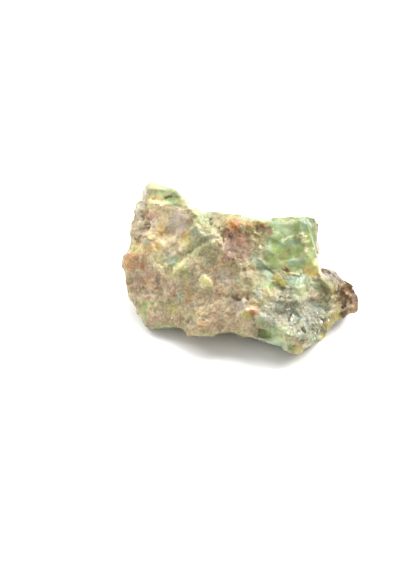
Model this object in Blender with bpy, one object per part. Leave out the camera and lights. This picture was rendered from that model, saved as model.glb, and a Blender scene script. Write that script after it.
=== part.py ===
"""A palm-size piece of rough green opal, 63 mm long: one broken stone on its natural base.

The stone is shaped in the frame of its broad broken face, then tipped back onto the table.
In the face frame x runs along the stone, y runs up the face and z points out of it. Distances
there are millimetres, because that is how a stone is measured; METRES turns them to metres.
"""

import math

import bmesh
import bpy
import numpy as np
from mathutils import Matrix, Vector, noise

NAME = "opal"
METRES = 0.001

# Driving dimensions, in millimetres
LENGTH = 62.7
FACE_BULGE = 5.0
BACK_DEPTH = 24.0
BASE_BELOW_CENTRE = 17.0
FACE_TIP_DEG = 50.0

# How fine the stone is carved, and how many triangles the carved stone keeps
SPHERE_SUBDIVISIONS = 7
KEPT_TRIANGLES = 8000

# How square the shoulders are, where 2 would be an ellipsoid
FACE_SQUARENESS = 2.6
BACK_SQUARENESS = 2.3

# The rim of the broad face, anticlockwise from the notch at its right end: x, y and z
RIM = [
    (21.0, 1.1, -3.0), (20.7, 1.9, -2.0), (21.1, 4.5, -1.5), (20.4, 8.0, -1.0),
    (20.9, 11.9, -1.0), (19.7, 13.6, -1.5), (16.0, 14.2, -2.0), (11.7, 13.7, -2.5),
    (7.8, 13.1, -3.0), (3.9, 13.5, -3.0), (0.8, 13.9, -3.0), (-3.6, 15.0, -3.5),
    (-7.1, 15.7, -4.0), (-9.7, 15.1, -4.0), (-10.6, 15.8, -4.0), (-12.8, 17.5, -4.5),
    (-15.5, 19.7, -5.0), (-17.7, 21.6, -5.5), (-21.2, 22.7, -6.0), (-23.7, 23.1, -6.0),
    (-25.0, 22.2, -6.0), (-26.3, 20.7, -6.5), (-26.3, 18.7, -6.5), (-27.9, 15.2, -7.0),
    (-28.1, 12.1, -7.0), (-29.2, 7.7, -7.0), (-29.7, 5.0, -7.0), (-31.0, 3.7, -7.0),
    (-31.4, 1.5, -7.0), (-30.3, -4.2, -7.0), (-29.9, -6.8, -7.5), (-28.7, -9.0, -7.5),
    (-27.0, -11.6, -7.5), (-25.7, -13.2, -7.0), (-24.9, -15.5, -6.5), (-21.6, -15.8, -5.0),
    (-17.6, -15.5, -3.0), (-15.0, -16.1, -1.5), (-13.7, -17.6, 0.0), (-11.5, -18.8, 0.7),
    (-8.9, -18.3, 1.5), (-6.3, -16.9, 2.5), (-3.8, -16.2, 3.3), (2.8, -17.6, 4.0),
    (7.0, -19.2, 4.5), (11.4, -20.6, 5.0), (13.0, -21.3, 5.5), (15.2, -21.7, 5.6),
    (16.3, -21.0, 5.0), (19.2, -19.7, 3.5), (21.4, -18.6, 2.0), (22.4, -16.4, 0.0),
    (24.7, -13.9, -3.0), (27.2, -12.8, -5.0), (28.6, -11.8, -5.0), (31.0, -10.7, -5.5),
    (31.3, -7.2, -6.0), (30.1, -4.0, -7.0), (27.9, -2.9, -7.0), (25.0, -0.4, -7.0),
]

# Round swellings of the face: x, y, half width, half height and how far they stand out
LUMPS = [
    (-30.0, 2.4, 2.6, 2.6, 1.4),
    (-27.6, 5.0, 2.4, 2.0, 0.8),
    (-11.3, -14.4, 4.5, 4.0, 1.8),
    (-8.6, -3.2, 2.6, 2.0, 1.3),
    (-8.0, 8.0, 4.5, 6.0, 1.2),
    (-1.8, 12.0, 2.8, 2.0, 1.2),
    (16.5, 11.4, 3.6, 2.4, 1.3),
    (14.8, -6.8, 2.9, 3.4, 2.2),
    (2.9, -11.6, 2.9, 2.4, 1.7),
    (-12.0, -0.5, 4.0, 3.5, 0.9),
    (-22.0, -11.5, 3.6, 3.0, 0.8),
    (24.0, -4.0, 1.9, 2.5, 3.2),
    (29.8, -8.0, 1.8, 4.5, 1.6),
    (13.5, -17.0, 3.8, 3.0, 1.2),
    (20.5, -12.5, 3.2, 3.6, 1.2),
]

# Bowls that a shell-shaped break leaves, sharp at the edge: x, y, radius and depth
BOWLS = [
    (11.0, 6.6, 8.6, 2.6),
    (5.6, 0.6, 4.6, 1.1),
    (-23.8, -3.2, 7.2, 1.9),
    (-18.2, 3.4, 3.8, 1.5),
    (-17.0, 11.5, 6.4, 1.4),
    (1.0, 8.0, 6.2, 1.5),
    (-0.6, -7.4, 1.8, 1.2),
    (1.8, -7.1, 1.6, 1.1),
    (-2.0, -10.4, 2.6, 1.0),
    (5.8, -16.0, 3.4, 2.4),
    (-13.4, -11.6, 2.4, 1.1),
    (27.0, -8.6, 2.9, 2.6),
    (9.6, -5.2, 2.6, 1.0),
    (18.6, -4.6, 3.0, 1.3),
    (9.0, -12.2, 3.6, 1.1),
    (19.8, -16.4, 2.4, 1.0),
]

# Broken ledges: the line's points, then how high its left side stands over its right side,
# and how far from the line that step fades out
LEDGES = [
    ([(-13.0, 16.4), (-16.3, 17.3), (-19.7, 17.6), (-23.1, 17.9), (-26.0, 18.6)], 1.6, 5.0),
    ([(-10.4, 15.2), (-11.6, 12.6), (-13.1, 10.0), (-15.0, 7.4), (-17.0, 5.0)], 2.0, 6.0),
    ([(-9.0, 6.6), (-12.1, 4.7), (-15.8, 0.5), (-19.6, -2.6)], 1.5, 4.0),
    ([(-24.9, 19.0), (-23.6, 14.5), (-23.9, 9.2), (-26.5, 6.5)], 2.2, 5.0),
    ([(-16.8, 3.4), (-19.2, 6.0), (-21.2, 8.0), (-24.0, 8.8), (-27.4, 8.9)], 0.9, 4.0),
    ([(-24.6, 3.0), (-21.2, 0.6), (-18.9, -2.6), (-16.4, -5.6), (-15.6, -9.4)], 1.3, 5.0),
    ([(-4.0, 12.8), (-4.6, 6.6), (-5.8, 2.1), (-7.1, -1.6)], 1.4, 4.0),
    ([(6.8, 12.4), (5.8, 9.2), (4.2, 5.8), (2.4, 1.6)], 1.3, 4.5),
    ([(21.4, 2.3), (19.3, 2.0), (17.0, 0.4), (14.3, -1.2), (11.2, -0.9), (8.0, 0.8)], 1.3, 4.0),
    ([(8.2, -7.6), (11.3, -8.2), (14.2, -9.0), (17.4, -8.2)], 1.3, 3.0),
    ([(-1.2, -12.6), (1.6, -14.2), (4.4, -15.2), (8.0, -17.4), (11.8, -19.2)], 1.8, 3.5),
    ([(-25.4, -9.8), (-23.0, -10.4), (-19.4, -9.2), (-16.6, -7.6)], 0.9, 3.5),
]

# How wide a ledge's step is, and how far along its line it starts and stops
LEDGE_RAMP = 0.45
LEDGE_ENDS = (0.04, 0.96)

# The edge of the main body, with the brown knob set back behind it. Past the middle of that
# edge most of the set-back is lost, so the knob and the body run together at the bottom.
BODY_EDGE = [(20.6, 2.6), (21.8, -1.2), (24.4, -5.9), (25.0, -9.6), (25.4, -13.2)]
KNOB_SET_BACK = 4.6
KNOB_FADE = 30.0
KNOB_JOINS_FROM = 0.45
KNOB_JOINED_SHARE = 0.7

# The relief fades in over this share of the sphere, from the rim towards the face
RELIEF_FADE = 0.25

# Shell-shaped breaks on the hidden sides: centre and radius of the ball that each one follows
BREAKS = [
    ((2.0, 38.0, -30.0), 28.5),
    ((-40.0, 22.0, -34.0), 27.0),
    ((46.0, 21.5, -22.5), 28.5),
    ((16.0, 14.0, -50.0), 31.0),
    ((-18.0, 6.0, -52.0), 32.0),
    ((52.0, -20.0, -28.0), 28.0),
    ((-46.0, -16.0, -26.0), 25.0),
    ((-8.0, -41.0, -2.0), 24.5),
    ((12.0, -44.0, -6.0), 24.0),
]

# Flat fracture faces all over, coarse then fine: size of a face and how far it tips in or out.
# The spread keeps the faces' middles far apart where the noise picks how each one leans.
FRACTURES = [(12.0, 0.9), (5.6, 0.6), (2.7, 0.24)]
LEAN_SPREAD = 64
CRUMBLE_SIZE = 3.4
CRUMBLE_DEPTH = 0.22


def remove_objects():
    for old in list(bpy.data.objects):
        bpy.data.objects.remove(old)


def rim_at(angle):
    """Radius and z of the rim at each angle round the face."""
    rim = np.array(RIM)
    around = np.arctan2(rim[:, 1], rim[:, 0])
    order = np.argsort(around)
    around, rim = around[order], rim[order]
    radius = np.interp(angle, around, np.hypot(rim[:, 0], rim[:, 1]), period=2 * math.pi)
    return radius, np.interp(angle, around, rim[:, 2], period=2 * math.pi)


def stone_mass(directions):
    """Where each direction of a sphere meets the unbroken stone: a low face and a deep back."""
    radius, rim_z = rim_at(np.arctan2(directions[:, 1], directions[:, 0]))
    out = np.hypot(directions[:, 0], directions[:, 1])
    face = FACE_BULGE * (1 - out**FACE_SQUARENESS) ** (1 / FACE_SQUARENESS)
    back = BACK_DEPTH * (1 - out**BACK_SQUARENESS) ** (1 / BACK_SQUARENESS)
    rise = np.where(directions[:, 2] > 0, face, -back)
    reach = radius * out / np.maximum(out, 1e-9)
    x = reach * directions[:, 0]
    y = reach * directions[:, 1]
    return np.stack([x, y, rim_z * out + rise], axis=1)


def smooth_step(low, high, value):
    share = np.clip((value - low) / (high - low), 0, 1)
    return share * share * (3 - 2 * share)


def signed_distance(x, y, line):
    """Distance from a line of points, positive on its left, and the nearest share along it."""
    nearest = np.full(len(x), np.inf)
    signed = np.zeros(len(x))
    along = np.zeros(len(x))
    for index, (start, end) in enumerate(zip(line, line[1:])):
        run_x, run_y = end[0] - start[0], end[1] - start[1]
        share = ((x - start[0]) * run_x + (y - start[1]) * run_y) / (run_x**2 + run_y**2)
        share = np.clip(share, 0, 1)
        off_x = x - start[0] - share * run_x
        off_y = y - start[1] - share * run_y
        distance = np.hypot(off_x, off_y)
        closer = distance < nearest
        side = np.sign(run_x * off_y - run_y * off_x)
        nearest = np.where(closer, distance, nearest)
        signed = np.where(closer, side * distance, signed)
        along = np.where(closer, (index + share) / (len(line) - 1), along)
    return signed, along


def face_relief(x, y):
    """How far the face stands out of the plain mass at each x and y."""
    rise = np.zeros(len(x))
    for centre_x, centre_y, wide, high, height in LUMPS:
        apart = ((x - centre_x) / wide) ** 2 + ((y - centre_y) / high) ** 2
        rise += height * np.exp(-apart)
    for centre_x, centre_y, radius, depth in BOWLS:
        apart = ((x - centre_x) ** 2 + (y - centre_y) ** 2) / radius**2
        rise -= depth * np.clip(1 - apart, 0, None)
    for line, step, fade in LEDGES:
        signed, along = signed_distance(x, y, line)
        ends = np.sin(math.pi * np.clip(along, *LEDGE_ENDS)) ** 0.5
        side = smooth_step(-LEDGE_RAMP, LEDGE_RAMP, signed) - 0.5
        rise += step * ends * side * np.exp(-np.abs(signed) / fade)
    signed, along = signed_distance(x, y, BODY_EDGE)
    behind = smooth_step(-LEDGE_RAMP, LEDGE_RAMP, signed) * np.exp(-np.abs(signed) / KNOB_FADE)
    joined = KNOB_JOINED_SHARE * smooth_step(KNOB_JOINS_FROM, 1, along)
    rise -= KNOB_SET_BACK * behind * (1 - joined)
    return rise


def break_away(points):
    """Moves what lies inside each break's ball out to the ball, which leaves a hollow shell."""
    for centre, radius in BREAKS:
        away = points - np.array(centre)
        distance = np.linalg.norm(away, axis=1, keepdims=True)
        points = np.where(distance < radius, np.array(centre) + away * radius / distance, points)
    return points


def fracture(points, size, depth):
    """How far each point moves so that the surface breaks into flat faces of about that size."""
    moved = np.zeros(len(points))
    for index, point in enumerate(points):
        middle = noise.voronoi(Vector(point) / size)[1][0]
        lean = noise.cell_vector(middle * LEAN_SPREAD) * 2 - Vector((1, 1, 1))
        moved[index] = depth * lean.dot(Vector(point) / size - middle)
    return moved


def crumble(points):
    return np.array([CRUMBLE_DEPTH * noise.noise(Vector(p) / CRUMBLE_SIZE) for p in points])


def normals_of(bm):
    bm.normal_update()
    return np.array([vert.normal for vert in bm.verts])


def points_of(bm):
    return np.array([vert.co for vert in bm.verts])


def put_points(bm, points):
    for vert, point in zip(bm.verts, points):
        vert.co = point


def carved_stone():
    """The whole stone in its face frame, before it is thinned and its base is cut."""
    bm = bmesh.new()
    bmesh.ops.create_icosphere(bm, subdivisions=SPHERE_SUBDIVISIONS, radius=1)
    directions = points_of(bm)
    directions /= np.linalg.norm(directions, axis=1, keepdims=True)
    points = stone_mass(directions)
    on_face = smooth_step(0, RELIEF_FADE, directions[:, 2])
    points[:, 2] += on_face * face_relief(points[:, 0], points[:, 1])
    points = break_away(points)
    for size, depth in FRACTURES:
        put_points(bm, points)
        points = points + normals_of(bm) * fracture(points, size, depth)[:, None]
    put_points(bm, points)
    points = points + normals_of(bm) * crumble(points)[:, None]
    put_points(bm, points)
    mesh = bpy.data.meshes.new(NAME)
    bm.to_mesh(mesh)
    bm.free()
    return mesh


def tipped_back(mesh):
    """Turns the mesh from the face frame to the table's frame, in metres, with its base at zero."""
    rim = np.array(RIM)
    size = METRES * LENGTH / (rim[:, 0].max() - rim[:, 0].min())
    tip = Matrix.Rotation(math.radians(FACE_TIP_DEG), 4, "X")
    lift = Matrix.Translation((0, 0, BASE_BELOW_CENTRE * size))
    mesh.transform(lift @ tip @ Matrix.Scale(size, 4))


def table_cutter():
    """A block under the table's level, wider than the stone, which cuts its flat natural base."""
    side = 3 * LENGTH * METRES
    bpy.ops.mesh.primitive_cube_add(size=side, location=(0, 0, -side / 2))
    cutter = bpy.context.object
    cutter.name = "table_cutter"
    cutter.display_type = "WIRE"
    cutter.hide_render = True
    return cutter


def evaluated_mesh(stone):
    graph = bpy.context.evaluated_depsgraph_get()
    return bpy.data.meshes.new_from_object(stone.evaluated_get(graph))


def centre_on_base(mesh):
    points = np.array([vert.co for vert in mesh.vertices])
    middle = (points.min(axis=0) + points.max(axis=0)) / 2
    mesh.transform(Matrix.Translation((-middle[0], -middle[1], 0)))


def opal_material():
    material = bpy.data.materials.new("green_opal")
    material.use_nodes = True
    shader = material.node_tree.nodes["Principled BSDF"]
    shader.inputs["Base Color"].default_value = (0.42, 0.45, 0.24, 1)
    shader.inputs["Roughness"].default_value = 0.45
    shader.inputs["Metallic"].default_value = 0
    shader.inputs["IOR"].default_value = 1.45
    return material


def collection_named(name):
    made = bpy.data.collections.new(name)
    bpy.context.scene.collection.children.link(made)
    return made


def move_to(thing, collection):
    for owner in list(thing.users_collection):
        owner.objects.unlink(thing)
    collection.objects.link(thing)


def main():
    remove_objects()
    mesh = carved_stone()
    tipped_back(mesh)
    stone = bpy.data.objects.new(NAME, mesh)
    move_to(stone, collection_named("rough_green_opal"))
    cutter = table_cutter()
    move_to(cutter, collection_named("cutters"))

    thin = stone.modifiers.new("thin", "DECIMATE")
    thin.ratio = KEPT_TRIANGLES / len(mesh.polygons)
    base = stone.modifiers.new("base", "BOOLEAN")
    base.operation = "DIFFERENCE"
    base.object = cutter

    finished = evaluated_mesh(stone)
    stone.modifiers.clear()
    centre_on_base(finished)
    finished.materials.clear()
    finished.materials.append(opal_material())
    stone.data = finished
    finished.name = NAME


main()
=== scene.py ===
# %% [markdown]
# # Rough green opal
# This is one broken stone, 63 mm long, about what fits in a palm. Opal is silica that set from
# water between grains of older rock. It has no crystal faces, so it breaks in smooth bowls like
# thick glass, while the rock round it crumbles. Iron stained the open cracks yellow, rust and
# mauve, and a little nickel made the clean opal green.
#
# The imported stone already has the right size and the large forms. This notebook gives it a
# finer skin, carves and paints that skin, and sets it on a white table.

# %% Tools and the imported stone
import math

import bpy
import bmesh
import numpy as np
from mathutils import Matrix, Vector, noise


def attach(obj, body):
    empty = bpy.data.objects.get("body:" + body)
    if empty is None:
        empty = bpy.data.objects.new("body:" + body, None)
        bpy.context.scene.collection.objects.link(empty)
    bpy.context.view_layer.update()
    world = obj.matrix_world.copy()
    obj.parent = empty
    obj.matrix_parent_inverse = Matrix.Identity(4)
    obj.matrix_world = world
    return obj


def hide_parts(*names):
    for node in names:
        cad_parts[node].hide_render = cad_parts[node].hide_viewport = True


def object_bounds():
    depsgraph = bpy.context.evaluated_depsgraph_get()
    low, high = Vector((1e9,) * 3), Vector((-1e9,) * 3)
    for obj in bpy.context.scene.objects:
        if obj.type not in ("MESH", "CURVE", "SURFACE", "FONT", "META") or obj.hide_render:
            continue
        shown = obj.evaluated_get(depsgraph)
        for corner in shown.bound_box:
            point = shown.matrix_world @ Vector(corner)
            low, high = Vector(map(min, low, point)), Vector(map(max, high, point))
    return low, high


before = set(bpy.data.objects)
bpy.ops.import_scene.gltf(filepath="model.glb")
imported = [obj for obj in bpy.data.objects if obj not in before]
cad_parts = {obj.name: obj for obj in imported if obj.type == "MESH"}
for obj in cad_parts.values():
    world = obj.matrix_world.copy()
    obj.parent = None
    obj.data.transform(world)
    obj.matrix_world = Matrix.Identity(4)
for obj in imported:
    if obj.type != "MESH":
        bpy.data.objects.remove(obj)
packed_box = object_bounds()
packed_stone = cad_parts["opal"]
MM = 0.001
print("packed stone:", len(packed_stone.data.polygons), "triangles")

# %% [markdown]
# ## A fine skin
# A broken face shows edges and pits down to the size of a sand grain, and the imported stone
# stops at about 2 mm. Subdividing it would keep its long thin triangles, and they would show as
# streaks in the relief. A voxel remesh makes an even net instead, with the same fineness on
# every side. In a narrow groove it can pinch off a tiny closed shell, so only the largest part
# is kept. Light smoothing takes off the facets, and leaves the ridges over 1 mm.

# %% An even net over the whole stone
MERGE_WITHIN = 0.001 * MM
SKIN_NET = 0.32 * MM
SMOOTH_ROUNDS = 8
SMOOTH_SPEED = 0.5


def keep_largest_part(mesh):
    """Deletes every loose part of the mesh apart from the one with the most points."""
    bm = bmesh.new()
    bm.from_mesh(mesh)
    unseen = set(bm.verts)
    parts = []
    while unseen:
        part = [unseen.pop()]
        for vert in part:
            reached = [edge.other_vert(vert) for edge in vert.link_edges]
            fresh = [other for other in reached if other in unseen]
            unseen.difference_update(fresh)
            part.extend(fresh)
        parts.append(part)
    parts.sort(key=len)
    loose = [vert for part in parts[:-1] for vert in part]
    bmesh.ops.delete(bm, geom=loose, context="VERTS")
    bm.to_mesh(mesh)
    bm.free()
    print("loose shells deleted:", len(parts) - 1)


def even_skin(source, name):
    """A new object with the source's shape, merged, remeshed in even squares and smoothed."""
    bm = bmesh.new()
    bm.from_mesh(source.data)
    bmesh.ops.remove_doubles(bm, verts=bm.verts, dist=MERGE_WITHIN)
    merged = bpy.data.meshes.new(name)
    bm.to_mesh(merged)
    bm.free()
    skin = bpy.data.objects.new(name, merged)
    bpy.context.scene.collection.objects.link(skin)
    net = skin.modifiers.new("net", "REMESH")
    net.mode = "VOXEL"
    net.voxel_size = SKIN_NET
    soft = skin.modifiers.new("soft", "SMOOTH")
    soft.factor = SMOOTH_SPEED
    soft.iterations = SMOOTH_ROUNDS
    graph = bpy.context.evaluated_depsgraph_get()
    skin.data = bpy.data.meshes.new_from_object(skin.evaluated_get(graph))
    skin.modifiers.clear()
    keep_largest_part(skin.data)
    skin.data.materials.clear()
    skin.data.name = name
    return skin


stone = even_skin(packed_stone, "rough_opal")
print("fine skin:", len(stone.data.vertices), "points,", 2 * len(stone.data.polygons), "triangles")

# %% [markdown]
# ## Finding places on the stone
# Everything below is placed in millimetres on the broad face, which leans back 50
# degrees: x runs along it, y up it and z out of it. The camera looks straight at that face, so a
# point that stands out of it looks a little further from the middle of the view. `spread` takes
# that into account, and a stain then lies where it is seen.

# %% Points of the skin in the face's own frame
FACE_LEAN = math.radians(50)
FACE_MIDDLE = np.array([0.03, -4.21, 16.87])
EYE_DISTANCE = 450.0
VIEW_X, VIEW_Y = -10.5, -3.9

place_count = len(stone.data.vertices)


def skin_vectors(field):
    """The skin's points or normals as they are now, a row of x, y and z for each."""
    values = np.empty(3 * place_count)
    stone.data.vertices.foreach_get(field, values)
    return values.reshape(-1, 3)


points = skin_vectors("co")
unlean = np.array(Matrix.Rotation(-FACE_LEAN, 3, "X"))
places = (points / MM - FACE_MIDDLE) @ unlean.T
spread = EYE_DISTANCE / (EYE_DISTANCE - places[:, 2])
seen_x = VIEW_X + (places[:, 0] - VIEW_X) * spread
seen_y = VIEW_Y + (places[:, 1] - VIEW_Y) * spread
print("the face spans", seen_x.min().round(1), "to", seen_x.max().round(1), "mm along")

# %% [markdown]
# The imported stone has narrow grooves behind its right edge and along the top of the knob, which
# would show as black lines. There each point rises, out of the face, to the mean height of its
# neighbours, round after round, and never sinks: the grooves fill and the rims stay. On the
# ridges beside them a point may sink too, so those come down to a soft slope. Each oval is x, y,
# half length and half width in mm, and a turn in degrees.

# %% Fill the grooves at the right
GROOVES = [
    (20.2, 7.6, 1.7, 7.6, 0),
    (18.6, 12.8, 2.4, 1.3, -25),
    (25.2, -1.8, 5.6, 2.4, -33),
    (14.4, 0.4, 7.0, 2.3, 0),
]
RIDGES = [
    (18.5, 8.5, 7.0, 2.3, -76),
    (13.0, -2.6, 5.5, 2.0, -5),
    (24.8, -1.5, 3.8, 1.8, -33),
]
FILL_ROUNDS = 260
FILL_SPEED = 0.9
DEEPEST = -13.0
edge_ends = np.empty(2 * len(stone.data.edges), dtype=np.int32)
stone.data.edges.foreach_get("vertices", edge_ends)
from_point, to_point = edge_ends.reshape(-1, 2).T
neighbour_count = np.bincount(edge_ends, minlength=place_count)


def oval_distance(off_x, off_y, half_long, half_wide, turn):
    """Distance from the middle of an oval turned anticlockwise, counted as 1 on its edge."""
    angle = math.radians(turn)
    along = off_x * math.cos(angle) + off_y * math.sin(angle)
    across = off_y * math.cos(angle) - off_x * math.sin(angle)
    return np.hypot(along / half_long, across / half_wide)


def inside(x, y, half_long, half_wide, turn):
    """Which points near the face lie in an oval at x, y."""
    away = oval_distance(seen_x - x, seen_y - y, half_long, half_wide, turn)
    return (away < 1) & (places[:, 2] > DEEPEST)


def neighbours_mean(values):
    """The mean of the values at the points that an edge joins to each point."""
    total = np.bincount(from_point, values[to_point], place_count)
    total += np.bincount(to_point, values[from_point], place_count)
    return total / neighbour_count


groove = FILL_SPEED * np.any([inside(*oval_at) for oval_at in GROOVES], axis=0)
ridge = FILL_SPEED * np.any([inside(*oval_at) for oval_at in RIDGES], axis=0)
height = places[:, 2].copy()
for _ in range(FILL_ROUNDS):
    change = neighbours_mean(height) - height
    height += np.where(ridge > 0, ridge * change, groove * np.clip(change, 0, None))
print("the grooves rose by up to", (height - places[:, 2]).max().round(1), "mm")
places[:, 2] = height

# %% [markdown]
# One rim beside the filled grooves is still sharp, and would catch the light as a thin bright
# line. A few rounds of the same averaging, now along x, y and z, round it off. The normals are
# read afterwards, because they have to fit the new shape.

# %% Round the sharp rim
SHARP_RIM = (18.9, 9.6, 6.8, 1.2, -78)
RIM_ROUNDS = 15
RIM_SPEED = 0.5
rim = RIM_SPEED * inside(*SHARP_RIM)
for _ in range(RIM_ROUNDS):
    for axis in range(3):
        places[:, axis] += rim * (neighbours_mean(places[:, axis]) - places[:, axis])
points = (places @ unlean + FACE_MIDDLE) * MM
stone.data.vertices.foreach_set("co", points.ravel())
stone.data.update()
normals = skin_vectors("normal")
print("the rim has", np.count_nonzero(rim), "points")

# %% [markdown]
# ## Natural randomness
# Three kinds of noise cover what a broken stone needs. Swells are soft and round, as where a
# surface weathered. Shards are flat faces that each lean their own way, as where it broke.
# Terraces are thin steps, as where it split in flakes. Each takes a size in millimetres, and
# each is fixed by its seed, so the stone is the same on every run.

# %% Swells, shards and terraces
SEED_STRIDE = Vector((7.3, 11.9, 5.1))
LEAN_SPREAD = 64
RAMP_START = 0.72


def smooth_step(low, high, value):
    share = np.clip((value - low) / (high - low), 0, 1)
    return share * share * (3 - 2 * share)


def swells(size, seed):
    """Soft heights between about -0.7 and 0.7, in swellings about that many mm across."""
    shift = SEED_STRIDE * seed
    return np.array([noise.noise(Vector(place) / size + shift) for place in places])


def shards(size, seed):
    """Flat faces about that many mm across: heights, distance to the next face, and luck."""
    shift = SEED_STRIDE * seed
    heights = np.zeros(place_count)
    edges = np.zeros(place_count)
    lucks = np.zeros(place_count)
    for index, place in enumerate(places):
        spot = Vector(place) / size + shift
        away, middles = noise.voronoi(spot)
        drawn = noise.cell_vector(middles[0] * LEAN_SPREAD)
        heights[index] = (drawn * 2 - Vector((1, 1, 1))).dot(spot - middles[0])
        edges[index] = away[1] - away[0]
        lucks[index] = drawn.z
    return heights, edges, lucks


def terraces(field, rise):
    """Turns a soft field into steps of that rise, with a short ramp between them."""
    steps = field / rise
    whole = np.floor(steps)
    return rise * (whole + smooth_step(RAMP_START, 1, steps - whole))


swell_coarse = swells(4.2, 1)
swell_middle = swells(1.7, 2)
swell_fine = swells(0.8, 3)
swell_grain = swells(0.42, 4)
shard_coarse, edge_coarse, _ = shards(2.4, 5)
shard_fine, edge_fine, luck_fine = shards(1.15, 6)
shard_grain, _, luck_grain = shards(0.66, 10)
print("noise: swells to", swell_middle.max().round(2), "and shards to", shard_fine.max().round(2))

# %% [markdown]
# ## Patches and seams
# Rust, wax and rock never end on a clean oval, so the map that stains are laid on is warped
# first, by about half a millimetre. A patch is then an oval on that map and comes out ragged. A
# seam is a soft line along a few points, for cracks, ledges and rims. Both give each point of the
# skin a share from 0 to 1, which serves relief and colour alike. They fade out where the skin
# turns away from the broad face or lies deep behind it, so that no mark runs on down the back.

# %% Ovals and lines on a warped map
WARP_COARSE = 0.75
WARP_FINE = 0.55
FADE_DEPTHS = (-19.0, -13.0)
FADE_TURNS = (-0.45, -0.10)
THIN_END = 0.35
warp_x = seen_x + WARP_COARSE * swell_middle + WARP_FINE * swells(0.75, 7)
warp_y = seen_y + WARP_COARSE * swells(1.7, 8) + WARP_FINE * swells(0.75, 9)
facing = (normals @ unlean.T)[:, 2]
face_share = smooth_step(*FADE_DEPTHS, places[:, 2]) * smooth_step(*FADE_TURNS, facing)


def oval(x, y, half_long, half_wide, turn=0, blur=0.35):
    """Share of an oval at x, y, turned anticlockwise, right through the stone."""
    away = oval_distance(warp_x - x, warp_y - y, half_long, half_wide, turn)
    return 1 - smooth_step(1 - blur, 1 + blur, away)


def patch(x, y, half_long, half_wide, turn=0):
    """Share of the same oval on the broad face alone."""
    return oval(x, y, half_long, half_wide, turn) * face_share


def line_distance(line):
    """Signed distance from a line of points, positive on its left, and the share along it."""
    nearest = np.full(place_count, np.inf)
    signed = np.zeros(place_count)
    along = np.zeros(place_count)
    for index, ((start_x, start_y), (end_x, end_y)) in enumerate(zip(line, line[1:])):
        run_x, run_y = end_x - start_x, end_y - start_y
        share = ((warp_x - start_x) * run_x + (warp_y - start_y) * run_y) / (run_x**2 + run_y**2)
        share = np.clip(share, 0, 1)
        off_x = warp_x - start_x - share * run_x
        off_y = warp_y - start_y - share * run_y
        distance = np.hypot(off_x, off_y)
        closer = distance < nearest
        nearest = np.where(closer, distance, nearest)
        signed = np.where(closer, np.sign(run_x * off_y - run_y * off_x) * distance, signed)
        along = np.where(closer, (index + share) / (len(line) - 1), along)
    return signed, along


def seam(line, half_wide):
    """Share of a soft line of that half width, thinner towards its ends."""
    signed, along = line_distance(line)
    taper = THIN_END + (1 - THIN_END) * np.sin(math.pi * np.clip(along, 0, 1))
    return np.exp(-((signed / (half_wide * taper)) ** 2)) * face_share


print("warped map ready:", place_count, "points")

# %% [markdown]
# ## Kinds of surface
# Four textures meet on this stone, and each has its own scale of relief. Clean opal is smooth
# and waxy. The grey corner is sugary, with grains about a millimetre across, and so is a little
# of the block in the middle. The left edge has split into thin flakes. All the rest is crumbly
# crust, and so are the hidden sides.

# %% Where the stone is waxy, sugary, flaky and crumbly
BLOCK_SUGAR = 0.25
SUGAR_OVER_CRUMBS = 0.6
waxy = np.maximum.reduce(
    [
        oval(13.6, 8.0, 7.6, 6.6),
        patch(12.8, 2.4, 6.0, 3.0),
        oval(-19.0, 20.3, 6.0, 2.4, -25),
        patch(15.4, -6.0, 2.2, 2.5),
        patch(24.0, -4.4, 1.6, 1.8),
        patch(19.0, 0.3, 2.2, 2.2),
        patch(9.5, -17.8, 3.5, 2.0, -30),
        patch(-25.0, -11.0, 1.0, 3.0),
        patch(6.0, -0.5, 1.4, 4.5, 25),
    ]
)
sugary_block = BLOCK_SUGAR * patch(-10.0, 9.0, 3.6, 4.2)
sugary = np.maximum(patch(15.0, -13.5, 10.5, 6.5, -8), sugary_block)
flaky = patch(-26.2, 14.0, 2.6, 5.2, 8)
crumbly = np.clip(1 - waxy - SUGAR_OVER_CRUMBS * sugary, 0, 1)
for title, share in (("waxy", waxy), ("sugary", sugary), ("flaky", flaky)):
    print(f"{title}: {share.mean():.0%} of the skin")

# %% [markdown]
# ## Relief
# The heights are added up in millimetres and each point then moves along its normal. First come
# the textures: each is a kind of surface, the noise it follows and a height in mm. Short strokes
# and flecks follow the edges of the shards, and the flakes are terraces on a slope. Then come the
# details that catch the eye: lumps, holes and ledges. Points on the flat base stay on the table.

# %% Textures of the broken skin
TEXTURES = [
    (crumbly, swell_middle, 0.04),
    (crumbly, swell_fine, 0.04),
    (crumbly, swell_grain, 0.05),
    (crumbly, shard_coarse, 0.08),
    (crumbly, shard_fine, 0.08),
    (crumbly, shard_grain, 0.07),
    (sugary, shard_coarse, 0.09),
    (sugary, shard_fine, 0.11),
    (sugary, shard_grain, 0.06),
    (sugary, swell_fine, 0.05),
    (waxy, shard_coarse, 0.08),
    (waxy, swell_middle, 0.03),
]
SWELL_RISE = 0.05
STROKE_RISE = 0.06
STROKE_DEPTH = 0.09
FLAKE_SWELL = 1.6
FLAKE_SLOPE = 0.35
FLAKE_RISE = 0.42
stroke_cloud = swells(1.9, 18)


def strokes(cloud, cloud_edge, distance, distance_edge):
    """Share of short lines along the edges of the shards, where the cloud is high."""
    return smooth_step(*cloud_edge, cloud) * (1 - smooth_step(*distance_edge, distance))


# The cream strokes and flecks along the shard edges are painted light further on, the glow of light
# through thin rims; here they also stand out a little, and the dark strokes sink as cracks.
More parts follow.
